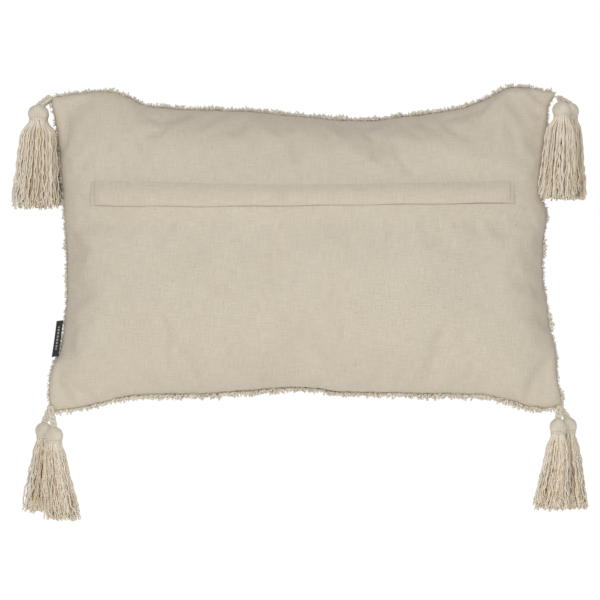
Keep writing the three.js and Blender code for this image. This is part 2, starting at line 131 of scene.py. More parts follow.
def lofted(k, across, up, edges):
    """One coordinate of a patch that spans four edges: low, high, left and right."""
    low, high, left, right = (edge[:, k] for edge in edges)
    rails = low[:, None] * (1 - up) + high[:, None] * up
    posts = left[None, :] * (1 - across) + right[None, :] * across
    corners = (
        low[0] * (1 - across) * (1 - up) + low[-1] * across * (1 - up)
        + high[0] * (1 - across) * up + high[-1] * across * up
    )
    return rails + posts - corners


def swell(x, z, across, high, low):
    """From 0 on the seam to 1 at the middle of a face, about the cushion's centre."""
    past = np.maximum(0, np.abs(x) - flat_half_width) / (half_width - flat_half_width)
    ridge = 1 - (1 - end_crown) * past**2
    ends = np.sqrt(np.maximum(0, 1 - np.abs(2 * across - 1) ** end_squareness))
    rise = np.clip(np.where(z > 0, z / high, z / low), 0, 1)
    slope = np.maximum(0, (rise - flat_share) / (1 - flat_share))
    return ridge * ends * np.maximum(0, 1 - slope**2) ** face_roundness


def cushion_grid(columns, rows_below, rows_above):
    """The plan and swell of a cushion's grid, with two rows on the zip's opening."""
    low_share, high_share = 0.669, 0.703
    share_z = np.concatenate([
        np.linspace(0, low_share, rows_below + 1),
        [(low_share + high_share) / 2],
        np.linspace(high_share, 1, rows_above + 1),
    ])
    across, up = np.meshgrid(np.linspace(0, 1, columns + 1), share_z, indexing="ij")
    edges = [smooth_line(edge, columns + 1) for edge in (bottom_edge, top_edge)]
    for edge in (left_edge, right_edge):
        even = smooth_line(edge, 400)
        at = np.linspace(0, 1, 400)
        edges.append(np.column_stack([np.interp(share_z, at, even[:, k]) for k in (0, 1)]))
    x = lofted(0, across, up, edges)
    z = lofted(1, across, up, edges)
    low_off = zip_z - opening / 2 - z[:, rows_below]
    high_off = zip_z + opening / 2 - z[:, rows_below + 2]
    for i in range(columns + 1):
        shares = [0, low_share, high_share, 1]
        z[i] += np.interp(share_z, shares, [0, low_off[i], high_off[i], 0])
    rise = swell(x, z, across, z[:, -1:], z[:, :1])
    return x, z, rise


columns, rows_below, rows_above = 112, 45, 21
plan_x, plan_z, rise = cushion_grid(columns, rows_below, rows_above)
rows = rows_below + rows_above + 2


def cushion_shell(name, x, z, back, front):
    """A closed mesh of a back and a front grid that share their outline; back faces first."""
    nx, nz = x.shape
    index = {}
    points = []
    for side, depth in (("back", -back), ("front", front)):
        for i in range(nx):
            for j in range(nz):
                edge = i in (0, nx - 1) or j in (0, nz - 1)
                if edge and side == "front":
                    index[side, i, j] = index["back", i, j]
                    continue
                index[side, i, j] = len(points)
                points.append((x[i, j], 0 if edge else depth[i, j], centre_z + z[i, j]))
    faces = []
    for side in ("back", "front"):
        for i in range(nx - 1):
            for j in range(nz - 1):
                loop = [index[side, i, j], index[side, i + 1, j],
                        index[side, i + 1, j + 1], index[side, i, j + 1]]
                faces.append(loop if side == "back" else loop[::-1])
    mesh = bpy.data.meshes.new(name)
    mesh.from_pydata(points, [], faces)
    mesh.polygons.foreach_set("material_index", np.repeat([0, 1], len(faces) // 2))
    mesh.update()
    return mesh, index


shell, place = cushion_shell("cushion_shell", plan_x, plan_z, back_crown * rise,
                             front_crown * rise)


def grid_of(place, side):
    """The numbers of a face's vertices, as a grid."""
    return np.array([[place[side, i, j] for j in range(rows + 1)] for i in range(columns + 1)])


def puckered(shell, place):
    """Fills the cover by simulation and keeps the creases that this makes along its seams."""
    zip_still, zip_fade = 14 * MM, 16 * MM
    cushion = bpy.data.objects.new("cushion", shell)
    scene.collection.objects.link(cushion)
    held = cushion.vertex_groups.new(name="held")
    for (side, i, j), at in place.items():
        from_zip = abs(plan_z[i, j] - zip_z) - zip_still
        near_zip = max(0, 1 - max(0, from_zip) / zip_fade) if side == "back" else 0
        on_seam = i in (0, columns) or j in (0, rows)
        held.add([at], 1 if on_seam else near_zip, "REPLACE")
    cloth = cushion.modifiers.new("filling", "CLOTH")
    settings = cloth.settings
    settings.quality = 4
    settings.mass = 0.3
    settings.tension_stiffness = 20
    settings.compression_stiffness = 20
    settings.shear_stiffness = 8
    settings.bending_stiffness = 0.8
    settings.use_pressure = True
    settings.uniform_pressure_force = 4
    settings.effector_weights.gravity = 0
    settings.shrink_min = -0.03
    settings.vertex_group_mass = "held"
    cloth.collision_settings.use_collision = False
    last = 20
    scene.frame_start = cloth.point_cache.frame_start = 1
    scene.frame_end = cloth.point_cache.frame_end = last
    for number in range(1, last + 1):
        scene.frame_set(number)
    seen = cushion.evaluated_get(bpy.context.evaluated_depsgraph_get()).data
    moved = {v.index: np.array(v.co - shell.vertices[v.index].co) for v in seen.vertices}
    scene.frame_set(1)
    bpy.data.objects.remove(cushion)
    steady = 4
    most = 5 * MM
    for side in ("back", "front"):
        at = grid_of(place, side)
        push = np.array([[moved[k] for k in line] for line in at])
        calm = push.copy()
        for _ in range(3):
            for axis in (0, 1):
                pad = [(0, 0)] * 3
                pad[axis] = (steady, steady)
                wide = np.cumsum(np.pad(calm, pad, mode="edge"), axis=axis)
                wide = np.insert(wide, 0, 0, axis=axis)
                size = 2 * steady + 1
                upper = np.take(wide, range(size, wide.shape[axis]), axis=axis)
                calm = (upper - np.take(wide, range(wide.shape[axis] - size), axis=axis)) / size
        crease = push - calm
        length = np.linalg.norm(crease, axis=2, keepdims=True)
        crease *= np.minimum(1, most / np.maximum(length, 1e-9))
        for i in range(1, columns):
            for j in range(1, rows):
                if side == "front" or abs(plan_z[i, j] - zip_z) >= zip_still:
                    shell.vertices[at[i, j]].co += Vector(crease[i, j])


puckered(shell, place)

# The pile's weight rolls the front a little past the seam, most of all along the bottom edge.
roll_low = [(-270, 2), (-200, 4), (-150, 6.5), (-90, 6.5), (-40, 4), (20, 2.5), (80, 4.5),
            (130, 6.5), (220, 6), (270, 2.5)]
roll_high = [(-270, 0), (-200, 0.5), (-150, 2), (0, 2.5), (50, 2), (120, 1), (200, 1.5),
             (235, 2), (270, 0.5)]
roll_side = 1.6 * MM
roll_rows, roll_columns, roll_fade = 6, 3, 1.5
for (side, i, j), at in place.items():
    if side == "back" or i in (0, columns) or j in (0, rows):
        continue
    spot = shell.vertices[at].co
    for line, sign, from_seam in ((roll_low, -1, j - 1), (roll_high, 1, rows - j - 1)):
        if from_seam < roll_rows:
            out = np.interp(plan_x[i, j] / MM, *zip(*line)) * MM
            spot.z += sign * out * (1 - from_seam / roll_rows) ** roll_fade
    from_side = min(i, columns - i) - 1
    if from_side < roll_columns:
        out = roll_side * (1 - from_side / roll_columns)
        spot.x += out if i > columns / 2 else -out

# ---- Canvas back -------------------------------------------------------------------------------
# Two panels of undyed cotton canvas, joined in one line above the middle, with a zip let into the
# join. They are sewn to the front all round and turned right side out, so no stitch shows.


def set_cloth_uv(mesh, place):
    """Lays the canvas flat: U and V are metres of cloth from its middle."""
    flat = {}
    for side in ("back", "front"):
        at = grid_of(place, side)
        spot = np.array([[mesh.vertices[k].co for k in line] for line in at])
        along = np.linalg.norm(np.diff(spot, axis=0), axis=2).cumsum(axis=0)
        up = np.linalg.norm(np.diff(spot, axis=1), axis=2).cumsum(axis=1)
        along = np.vstack([np.zeros((1, rows + 1)), along])
        up = np.hstack([np.zeros((columns + 1, 1)), up])
        along -= along[columns // 2]
        up -= up[:, rows // 2][:, None]
        for i in range(columns + 1):
            for j in range(rows + 1):
                flat[side, at[i, j]] = (along[i, j], up[i, j])
    layer = mesh.uv_layers.new(name="cloth")
    for face in mesh.polygons:
        side = "front" if face.material_index else "back"
        for corner in face.loop_indices:
            layer.data[corner].uv = flat[side, mesh.loops[corner].vertex_index]


set_cloth_uv(shell, place)


def finished(obj, levels=0, thickness=0):
    """Applies subdivision and thickness, and returns the object with its plain mesh."""
    if levels:
        rounder = obj.modifiers.new("rounder", "SUBSURF")
        rounder.levels = rounder.render_levels = levels
    if thickness:
        wall = obj.modifiers.new("wall", "SOLIDIFY")
        wall.thickness = thickness
        wall.offset = -1
        wall.use_even_offset = False
    return baked(obj)


def baked(obj):
    """Turns an object's modifiers into its plain mesh."""
    graph = bpy.context.evaluated_depsgraph_get()
    graph.update()
    mesh = bpy.data.meshes.new_from_object(obj.evaluated_get(graph), depsgraph=graph)
    obj.modifiers.clear()
    old = obj.data
    name = obj.name
    obj.data = mesh
    if old.users == 0:
        bpy.data.meshes.remove(old)
    mesh.name = name
    for face in mesh.polygons:
        face.use_smooth = True
    return obj


def placed(name, mesh):
    """A new object for a mesh, in the scene."""
    obj = bpy.data.objects.new(name, mesh)
    scene.collection.objects.link(obj)
    return obj


whole = finished(placed("cover", shell.copy()), levels=1)
whole_tree = BVHTree.FromObject(whole, bpy.context.evaluated_depsgraph_get())


def canvas_y(x, z):
    """Where the canvas back's outer face lies at a spot, z being from the cushion's centre."""
    hit = whole_tree.ray_cast(Vector((x, -0.5, centre_z + z)), Vector((0, 1, 0)))
    return hit[0].y if hit[0] else 0.0


def only(mesh, keep, name):
    """A copy of a mesh with only the faces that keep(face centre, side) allows."""
    shape = bmesh.new()
    shape.from_mesh(mesh)
    gone = [face for face in shape.faces
            if not keep(face.calc_center_median(), face.material_index)]
    bmesh.ops.delete(shape, geom=gone, context="FACES")
    result = bpy.data.meshes.new(name)
    shape.to_mesh(result)
    shape.free()
    result.polygons.foreach_set("material_index", [0] * len(result.polygons))
    return result


def outside_zip(centre, side):
    """Whether a face is part of the canvas back, which is open over the zip."""
    in_opening = abs(centre.z - centre_z - zip_z) < opening / 2 and abs(centre.x) < zip_half
    return side == 0 and not in_opening


canvas_back = placed("canvas_back", only(whole.data, outside_zip, "canvas_back"))
# The two panels' join shows as a fine groove at both ends of the zip.
join_at = [-0.255, -0.22, 0.22, 0.255], [0.063, 0.058, 0.05, 0.041]
join_depth, join_width, join_start = 1.1 * MM, 1.6 * MM, zip_half + 6 * MM
# Under the flap the canvas lies a little flatter, where the zip's puller runs over it.
pull_foot, pull_top = (corner.z - centre_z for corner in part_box("zip_puller"))
pull_room, pull_end, end_fade, side_fade = 0.8 * MM, zip_half + 16 * MM, 6 * MM, 3 * MM
# The top right corner droops like an ear, over a crease from the seam towards its tip.
ear_fold = [(0.226, 0.172), (0.234, 0.1688), (0.2437, 0.1593), (0.252, 0.154), (0.262, 0.1495)]
fold_depth, fold_width = 2.2 * MM, 1.8 * MM
lip_height, lip_width, lip_off = 0.8 * fold_depth, 3 * MM, 4 * MM
# Fine uneven ripples run in from the seams.
ripple_depth, ripple_reach, ripple_pitch, ripple_edge = 0.55 * MM, 9 * MM, 11 * MM, 2 * MM
ripple_drift, drift_rate = 2, 90
seam_spots = np.vstack([smooth_line(edge, 600) for edge in
                        (bottom_edge, top_edge, left_edge, right_edge)])
for vertex in canvas_back.data.vertices:
    x, z = vertex.co.x, vertex.co.z - centre_z
    if abs(x) > join_start:
        off = (z - np.interp(x, *join_at)) / join_width
        vertex.co.y += join_depth * math.exp(-(off**2))
    past_end = (pull_end - abs(x)) / end_fade
    under_pull = min(pull_top - z, z - pull_foot) / side_fade + 1
    vertex.co.y += pull_room * min(1, max(0, past_end)) * min(1, max(0, under_pull))
    for (x0, z0), (x1, z1) in zip(ear_fold, ear_fold[1:]):
        run = math.hypot(x1 - x0, z1 - z0)
        part = ((x - x0) * (x1 - x0) + (z - z0) * (z1 - z0)) / run**2
        if 0 <= part <= 1:
            off = ((x - x0) * (z1 - z0) - (z - z0) * (x1 - x0)) / run
            vertex.co.y += fold_depth * math.exp(-((off / fold_width) ** 2))
            vertex.co.y -= lip_height * math.exp(-(((off - lip_off) / lip_width) ** 2))
    from_seam = np.hypot(*(seam_spots - (x, z)).T).min()
    if from_seam < 3 * ripple_reach:
        phase = 2 * math.pi * (x + z) / ripple_pitch + ripple_drift * math.sin(drift_rate * x)
        fade = math.exp(-from_seam / ripple_reach) * min(1, from_seam / ripple_edge)
        vertex.co.y += ripple_depth * fade * math.sin(phase)
canvas_back = finished(canvas_back, thickness=0.9 * MM)


def linear(hex_colour):
    """An sRGB hex colour as linear RGBA."""
    parts = [int(hex_colour[k:k + 2], 16) / 255 for k in (0, 2, 4)]
    return [p / 12.92 if p <= 0.04045 else ((p + 0.055) / 1.055) ** 2.4 for p in parts] + [1]


def set_inputs(node, inputs):
    """Sets or links a node's inputs, in order or by name or number. A node given as an input
    stands for its first output."""
    for key, value in (inputs if isinstance(inputs, dict) else dict(enumerate(inputs))).items():
        if isinstance(value, bpy.types.Node):
            value = value.outputs[0]
        if isinstance(value, bpy.types.NodeSocket):
            node.id_data.links.new(value, node.inputs[key])
        else:
            node.inputs[key].default_value = value


def add_node(tree, kind, inputs=(), stops=(), **settings):
    """Adds a node with its settings, its inputs and the colours of a ramp's stops. A kind of
    shader node goes without its prefix."""
    node = tree.nodes.new(kind if "Node" in kind else f"ShaderNode{kind}")
    for name, value in settings.items():
        setattr(node, name, value)
    set_inputs(node, inputs)
    for k, (position, colour) in enumerate(stops):
        marks = node.color_ramp.elements
        mark = marks[k] if k < 2 else marks.new(position)
        mark.position, mark.color = position, linear(colour)
    return node


def new_material(name, **constant):
    """A material with only a Principled shader, some of its inputs set; returns both, and a
    function that adds nodes."""
    material = bpy.data.materials.new(name)
    material.use_nodes = True
    shader = material.node_tree.nodes["Principled BSDF"]
    set_inputs(shader, {label.replace("_", " "): value for label, value in constant.items()})
    return material, shader, partial(add_node, material.node_tree)


def surface(shader, colour, height, strength, distance=0.1 * MM):
    """Gives a shader its colour, and a relief that follows a height."""
    bump = add_node(shader.id_data, "Bump", {"Strength": strength, "Distance": distance,
                                             "Height": height})
    set_inputs(shader, {"Base Color": colour, "Normal": bump})


def canvas_material():
    """Loomstate cotton canvas, plain woven: matt, warm grey-cream, with thicker threads here and
    there and a few flecks of seed husk. Threads are really 0.7 mm apart, and drawn at 1.5 mm."""
    pitch = 1.5 * MM
    thin, long = 1400, 60
    material, shader, add = new_material(
        "loomstate_cotton_canvas_plain_woven", Roughness=0.92, Sheen_Weight=0.15,
        Sheen_Roughness=0.5, IOR=1.45, Specular_IOR_Level=0.25)
    flat = add("UVMap", uv_map="cloth")
    split = add("SeparateXYZ", [flat])
    threads, slubs = [], []
    for k, stretch in enumerate(((long, thin, 1), (thin, long, 1))):
        turn = add("Math", [split.outputs[k], math.pi / pitch], operation="MULTIPLY")
        threads.append(add("Math", [turn], operation="SINE"))
        drawn_out = add("Mapping", {0: flat, 3: stretch})
        slubs.append(add("TexNoise", {"Vector": drawn_out, "Scale": 1.0, "Detail": 2.0}))
    weave = add("Math", threads, operation="MULTIPLY")
    uneven = add("Math", slubs, operation="ADD")
    patches = add("TexNoise", {"Vector": flat, "Scale": 14.0, "Detail": 4.0})
    tone = add("Math", [patches, 0.35, uneven], operation="MULTIPLY_ADD")
    tone = add("MapRange", [tone, 0.75, 1.6])
    cloth = add("ValToRGB", [tone], stops=((0, "cabfac"), (1, "e2d8c7")))
    husks = add("TexNoise", {"Vector": flat, "Scale": 420.0, "Detail": 0.0})
    fleck = add("MapRange", {0: husks, 1: 0.76, 2: 0.83, 4: 0.32})
    mixed = add("Mix", {0: fleck, 6: cloth, 7: linear("8f7f66")}, data_type="RGBA")
    height = add("Math", [uneven, 0.9, weave], operation="MULTIPLY_ADD")
    surface(shader, mixed.outputs[2], height, 0.3, 0.25 * MM)
    return material


canvas = canvas_material()
canvas_back.data.materials.clear()
canvas_back.data.materials.append(canvas)
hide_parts("back_panel_upper", "back_panel_lower")
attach(canvas_back, "root")

# ---- Tufted front ------------------------------------------------------------------------------
# Cotton yarn tufted through a base cloth and cut, so that its ends stand up as a thick shaggy
# pile. It grows right up to the seams, where its ends poke out past the edge of the back.

front_base = placed("front_base", only(whole.data, lambda centre, side: side == 1, "front_base"))
bpy.data.objects.remove(whole)
third = 88 * MM
pile_fields = []
for height, low, high in (("upper", centre_z, 1), ("lower", -1, centre_z)):
    for side, left, right in (("left", -1, -third), ("middle", -third, third),
                              ("right", third, 1)):
        area = f"{height}_{side}"
        pile_fields.append((area, only(
            front_base.data, lambda c, _: low < c.z <= high and left <= c.x < right,
            f"field_{area}")))


def yarn_material(name, deep, dark, light, ply_pitch=5 * MM, strength=0.5, ply_shade=0.15):
    """Soft spun cotton yarn: its plies twist round it and are painted in turn with highlights on
    them and shade between them. The attributes along and around follow the yarn, in metres and in
    turns, and tone differs from one to the next, from 0 deep in the bundle, where it paints shade
    in the deep colour, to 1 outside."""
    material, shader, add = new_material(name, Roughness=0.88, Sheen_Weight=0.3,
                                         Sheen_Roughness=0.4, IOR=1.45, Specular_IOR_Level=0.25)
    along, around, tone = (
        add("Attribute", attribute_name=mark).outputs["Fac"]
        for mark in ("along", "around", "tone")
    )
    turns = add("Math", [along, 1 / ply_pitch, around], operation="MULTIPLY_ADD")
    angle = add("Math", [turns, 4 * math.pi], operation="MULTIPLY")
    plies = add("Math", [angle], operation="COSINE")
    spot = add("TexCoord").outputs["Object"]
    fuzz = add("TexNoise", {"Vector": spot, "Scale": 900.0, "Detail": 3.0})
    # Painted highlights on the plies and painted shade between them, on top of each yarn's tone,
    # then a random fuzz.
    shade = add("Math", [plies, ply_shade, tone], operation="MULTIPLY_ADD")
    shade = add("Math", [fuzz, 0.2, shade], operation="MULTIPLY_ADD")
    colour = add("ValToRGB", [shade], stops=((0.1, deep), (1, light), (0.45, dark)))
    height = add("Math", [fuzz, 0.5, plies], operation="MULTIPLY_ADD")
    surface(shader, colour, height, strength, 0.3 * MM)
    return material


pile_yarn = yarn_material("cut_cotton_pile_yarn", "dbc8a6", "f3e9d6", "fffaf0")

# The pile is shorn short next to the seams, shortest of all along the sides, and short fine ends
# stand close together all round the edge.
low_rim = np.column_stack([plan_x[:, 0], plan_z[:, 0]])
high_rim = np.column_stack([plan_x[:, -1], plan_z[:, -1]])
side_rim = np.vstack([np.column_stack([plan_x[k], plan_z[k]]) for k in (0, -1)])
rim_width, shorn_width = 7 * MM, 20 * MM
pile_spacing, rim_spacing = 3.5 * MM, 2.65 * MM
low_pile, high_pile, side_pile, seam_gap = 0.6, 0.5, 0.32, 2 * MM
clump_rise, clump_pitch, gap_pitch = 0.45, 8.5 * MM, 21 * MM


def rim_gaps(x, z):
    """How far a place is from the bottom, top and nearer side seam."""
    return [np.hypot(*(rim - (x, z)).T).min() for rim in (low_rim, high_rim, side_rim)]


def growth_at(x, z):
    """The pile's height at a place: 1 away from the seams, and uneven along them."""
    low, high, side = rim_gaps(x, z)
    clump = math.sin(z / clump_pitch + 1) * math.sin(z / gap_pitch + (2 if x > 0 else 0.4))
    by_side = side_pile + clump_rise * max(0, clump) ** 2
    end = min(low, high)
    by_end = low_pile if low < high else high_pile
    short = by_end + (by_side - by_end) * end / (end + side + 1e-6)
    return short + (1 - short) * min(1, max(0, min(end, side) - seam_gap) / shorn_width)


rim_field = only(front_base.data,
                 lambda c, _: min(rim_gaps(c.x, c.z - centre_z)) < rim_width, "field_rim")
pile_fields.append(("seam_edges", rim_field))
for area, field in pile_fields:
    growth = field.attributes.new("growth", "FLOAT", "POINT").data
    for vertex, mark in zip(field.vertices, growth):
        mark.value = growth_at(vertex.co.x, vertex.co.z - centre_z)


def ring_faces(rings, size, closed=False):
    """Quads between rings of points that follow one another; closed joins the last to the
    first."""
    faces = []
    for ring in range(rings if closed else rings - 1):
        ahead = ((ring + 1) % rings - ring) * size
        for k in range(size):
            a, b = ring * size + k, ring * size + (k + 1) % size
            faces.append((a, b, b + ahead, a + ahead))
    return faces


def yarn_tube(points, radii, sides=4):
    """Vertices, faces, along and around of a closed tube through some points."""
    vertices, along, around = [], [], []
    run = 0.0
    for k, (point, radius) in enumerate(zip(points, radii)):
        if k:
            run += (point - points[k - 1]).length
        ahead = points[min(k + 1, len(points) - 1)] - points[max(k - 1, 0)]
        frame_turn = ahead.to_track_quat("Z", "X")
        for s in range(sides):
            turn = 2 * math.pi * s / sides
            rim = Vector((math.cos(turn), math.sin(turn), 0)) * radius
            vertices.append(point + frame_turn @ rim)
            along.append(run)
            around.append(s / sides)
    faces = ring_faces(len(points), sides)
    faces.append(tuple(reversed(range(sides))))
    faces.append(tuple(range(len(vertices) - sides, len(vertices))))
    return vertices, faces, along, around


def mesh_of(name, tubes):
    """One mesh of several tubes, with their along, around and tone attributes."""
    vertices, faces, marks = [], [], {"along": [], "around": [], "tone": []}
    for tube_vertices, tube_faces, along, around, tone in tubes:
        faces += [tuple(k + len(vertices) for k in face) for face in tube_faces]
        vertices += tube_vertices
        marks["along"] += along
        marks["around"] += around
        marks["tone"] += [tone] * len(along)
    mesh = bpy.data.meshes.new(name)
    mesh.from_pydata(vertices, [], faces)
    for mark, values in marks.items():
        mesh.attributes.new(mark, "FLOAT", "POINT").data.foreach_set("value", values)
    for face in mesh.polygons:
        face.use_smooth = True
    return mesh


# How a tuft's ends grow, as shares of their length: where they start, and how they bend.
root_gap, root_depth, bend, droop, sweep = 0.08, 0.05, 1.3, 0.12, 0.35
end_radii = [1.1 * MM, 1.35 * MM, 1.4 * MM, 0.95 * MM]
tuft_kinds, tuft_ends = 6, 3
draw = np.random.default_rng(11)
tufts = bpy.data.collections.new("tufts")
scene.collection.children.link(tufts)
for kind in range(tuft_kinds):
    tubes = []
    for end in range(tuft_ends):
        heading = 2 * math.pi * (end / tuft_ends + draw.uniform(-0.1, 0.1))
        lean = draw.uniform(0.15, 1.0)
        curl = draw.uniform(-1.0, 1.0)
        length = draw.uniform(7.0, 10.5) * MM
        side = Vector((math.cos(heading), math.sin(heading), 0))
        across = Vector((-side.y, side.x, 0))
        points = []
        for t in (0, 0.4, 0.75, 1):
            out = root_gap + math.sin(lean) * t**bend
            up = math.cos(lean) * t * (1 - droop * t) - root_depth
            points.append(length * (
                side * out + across * (sweep * curl * t * t) + Vector((0, 0, 1)) * up))
        tubes.append((*yarn_tube(points, end_radii), draw.uniform(0.3, 0.8)))
    tufts.objects.link(bpy.data.objects.new(f"tuft_{kind}", mesh_of(f"tuft_{kind}", tubes)))


def new_geometry_tree(name, **inputs):
    """A geometry node tree with named inputs; returns a function that adds nodes to it, and
    what comes in."""
    tree = bpy.data.node_groups.new(name, "GeometryNodeTree")
    for label, kind in {"Geometry": "Geometry", **inputs}.items():
        tree.interface.new_socket(label, in_out="INPUT", socket_type=f"NodeSocket{kind}")
    tree.interface.new_socket("Geometry", in_out="OUTPUT", socket_type="NodeSocketGeometry")
    return partial(add_node, tree), tree.nodes.new("NodeGroupInput").outputs


def real_copies(add, inputs):
    """Copies of a shape set out on points, made real."""
    copies = add("GeometryNodeInstanceOnPoints", inputs)
    return add("GeometryNodeRealizeInstances", [copies])


def end_tree(add, geometry, material):
    """Gives a tree's geometry one material, sends it out and returns the tree."""
    done = add("GeometryNodeSetMaterial", {"Geometry": geometry, "Material": material})
    return add("NodeGroupOutput", [done]).id_data


def run_tree(obj, tree, **values):
    """Runs a geometry node tree on an object with its inputs set, and keeps the result."""
    modifier = obj.modifiers.new(tree.name, "NODES")
    modifier.node_group = tree
    sockets = {item.name: item.identifier for item in tree.interface.items_tree
               if item.item_type == "SOCKET" and item.in_out == "INPUT"}
    for label, value in values.items():
        modifier[sockets[label]] = value
    return baked(obj)


def tufting_tree():
    """Tufts of cut yarn all over a surface, each turned, leaned and sized by chance."""
    add, given = new_geometry_tree("tufting", Spacing="Float", Seed="Int", Tufts="Collection",
                                   Yarn="Material")
    growth = add("GeometryNodeInputNamedAttribute", {"Name": "growth"}, data_type="FLOAT")
    spots = add("GeometryNodeDistributePointsOnFaces",
                {"Mesh": given["Geometry"], "Distance Min": given["Spacing"],
                 "Density Max": 400000.0, "Seed": given["Seed"]},
                distribute_method="POISSON")
    kinds = add("GeometryNodeCollectionInfo",
                {"Collection": given["Tufts"], "Separate Children": True,
                 "Reset Children": True})
    lean = add("FunctionNodeRandomValue", {0: (-0.4, -0.4, -math.pi), 1: (0.4, 0.4, math.pi),
                                           "Seed": 3}, data_type="FLOAT_VECTOR")
    turned = add("FunctionNodeRotateRotation", [spots.outputs["Rotation"], lean],
                 rotation_space="LOCAL")
    size = add("FunctionNodeRandomValue", {2: 0.55, 3: 1.35, "Seed": 5}, data_type="FLOAT")
    size = add("Math", [size.outputs[1], growth], operation="MULTIPLY")
    which = add("FunctionNodeRandomValue", {4: 0, 5: tuft_kinds - 1, "Seed": 7}, data_type="INT")
    pile = real_copies(add, {"Points": spots, "Instance": kinds, "Pick Instance": True,
                             "Instance Index": which.outputs[2], "Rotation": turned,
                             "Scale": size})
    return end_tree(add, pile, given["Yarn"])


tufting = tufting_tree()
for number, (area, field) in enumerate(pile_fields):
    pile = run_tree(placed(f"pile_{area}", field), tufting, Seed=number, Tufts=tufts,
                    Spacing=rim_spacing if field is rim_field else pile_spacing,
                    Yarn=pile_yarn)
    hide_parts("front_pile")
    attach(pile, "root")
for tuft in list(tufts.objects):
    bpy.data.objects.remove(tuft)
bpy.data.collections.remove(tufts)

front_base = finished(front_base, thickness=0.9 * MM)
front_base.data.materials.clear()
front_base.data.materials.append(canvas)
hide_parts("front_base_cloth")
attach(front_base, "root")

# ---- Zip flap ----------------------------------------------------------------------------------
# A strip of the same canvas, folded double and sewn in above the zip. It hangs over the opening,
# puffed a little by the zip under it, and is tacked down at both ends.

flap_left, flap_right = -222.5 * MM, 217.5 * MM
flap_cloth, seam_share = 1.4 * MM, 0.45
edge_waver, wave_height = 0.35, 0.35 * MM
tacked_end, tacked_rise = 9 * MM, 0.35
flap_edge = [(-222.5, 46.8), (-170, 45.8), (-110, 45), (-40, 45.6), (30, 46.4), (110, 47.6),
             (170, 48.8), (217.5, 49.6)]
flap_seam = [(-222.5, 72.5), (-170, 71), (-100, 68.6), (-20, 67.2), (60, 68), (140, 70),
             (217.5, 72.2)]
flap_rise = [(0, 0.6), (0.06, 1.0), (0.16, 2.3), (0.32, 3.9), (0.45, 4.3), (0.65, 4.5),
             (0.8, 4.1), (0.9, 3.1), (1, 1.7)]


def flap_point(x, share, low):
    """A spot on the flap's outer or inner face: share runs from its seam to its folded edge."""
    edge = np.interp(x / MM, *zip(*flap_edge)) + edge_waver * math.sin(x / 0.013)
    seam = np.interp(x / MM, *zip(*flap_seam))
    z = (seam + (edge - seam) * share) * MM
    inward = min(1, min(x - flap_left, flap_right - x) / tacked_end)
    puff = 3 * inward**2 - 2 * inward**3
    rise = np.interp(share, *zip(*flap_rise)) * MM
    wave = wave_height * share * math.sin(x / 0.017 + 1.3) * math.sin(x / 0.041)
    stand = rise * (tacked_rise + (1 - tacked_rise) * puff) + wave * puff
    wall = flap_cloth * (seam_share if low and share < 0.02 else 1)
    return (x, canvas_y(x, z) - stand + (wall if low else 0), centre_z + z)


flap_xs = np.linspace(flap_left, flap_right, 221)
flap_shares = [0, 0.03, 0.08, 0.16, 0.26, 0.38, 0.5, 0.62, 0.74, 0.84, 0.92, 0.975, 1]
ring = [(share, False) for share in flap_shares] + [(share, True) for share in flap_shares[::-1]]
flap_vertices = [flap_point(x, share, low) for x in flap_xs for share, low in ring]
flap_faces = ring_faces(len(flap_xs), len(ring))
for start, turn in ((0, -1), ((len(flap_xs) - 1) * len(ring), 1)):
    for k in range(len(flap_shares) - 1):
        far = start + len(ring) - 1 - k
        flap_faces.append([start + k, start + k + 1, far - 1, far][::turn])
flap_mesh = bpy.data.meshes.new("zip_flap_cloth")
flap_mesh.from_pydata(flap_vertices, [], flap_faces)


def outward(mesh):
    """Turns a closed mesh's faces to point outwards."""
    shape = bmesh.new()
    shape.from_mesh(mesh)
    bmesh.ops.recalc_face_normals(shape, faces=shape.faces)
    shape.to_mesh(mesh)
    shape.free()


outward(flap_mesh)
flat_flap = flap_mesh.uv_layers.new(name="cloth")
flap_shift = 11 * MM
for corner in flap_mesh.loops:
    spot = flap_mesh.vertices[corner.vertex_index].co
    flat_flap.data[corner.index].uv = (spot.x, spot.z + flap_shift)
flap = finished(placed("zip_flap_cloth", flap_mesh), levels=1)
flap.data.materials.append(canvas)
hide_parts("zip_flap")
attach(flap, "root")

# ---- Stitches ----------------------------------------------------------------------------------
# Lockstitches in undyed cotton thread, 3 mm long and pulled a little into the cloth. They tack
# down the flap's ends.


def spots_along(add, line, pitch):
    """Evenly spaced points along a line of edges, and the turn of each to the line."""
    curve = add("GeometryNodeMeshToCurve", {"Mesh": line})
    spots = add("GeometryNodeResampleCurve", {"Curve": curve, "Length": pitch}, mode="LENGTH")
    tangent = add("GeometryNodeInputTangent")
    turned = add("FunctionNodeAlignRotationToVector", {"Vector": tangent}, axis="Z")
    return spots, turned


def stitch_tree():
    """Stitches set end to end along a line of edges."""
    add, given = new_geometry_tree("lockstitch", Pitch="Float", Length="Float", Radius="Float",
                                   Thread="Material")
    spots, turned = spots_along(add, given["Geometry"], given["Pitch"])
    bead = add("GeometryNodeMeshUVSphere", {"Segments": 6, "Rings": 5, "Radius": 1.0})
    half = add("Math", [given["Length"], 0.5], operation="MULTIPLY")
    size = add("CombineXYZ", [given["Radius"], given["Radius"], half])
    row = real_copies(add, {"Points": spots, "Instance": bead, "Rotation": turned,
                            "Scale": size})
    return end_tree(add, row, given["Thread"])


lockstitch = stitch_tree()
thread = yarn_material("undyed_cotton_sewing_thread", "a3967c", "cfc5b0", "e2d8c6",
                       ply_pitch=1 * MM, strength=0.2)


def on_line(name, points, tree, **values):
    """A piece that a tree sets out along a line through some points."""
    mesh = bpy.data.meshes.new(name)
    mesh.from_pydata(points, [(k, k + 1) for k in range(len(points) - 1)], [])
    return run_tree(placed(name, mesh), tree, **values)


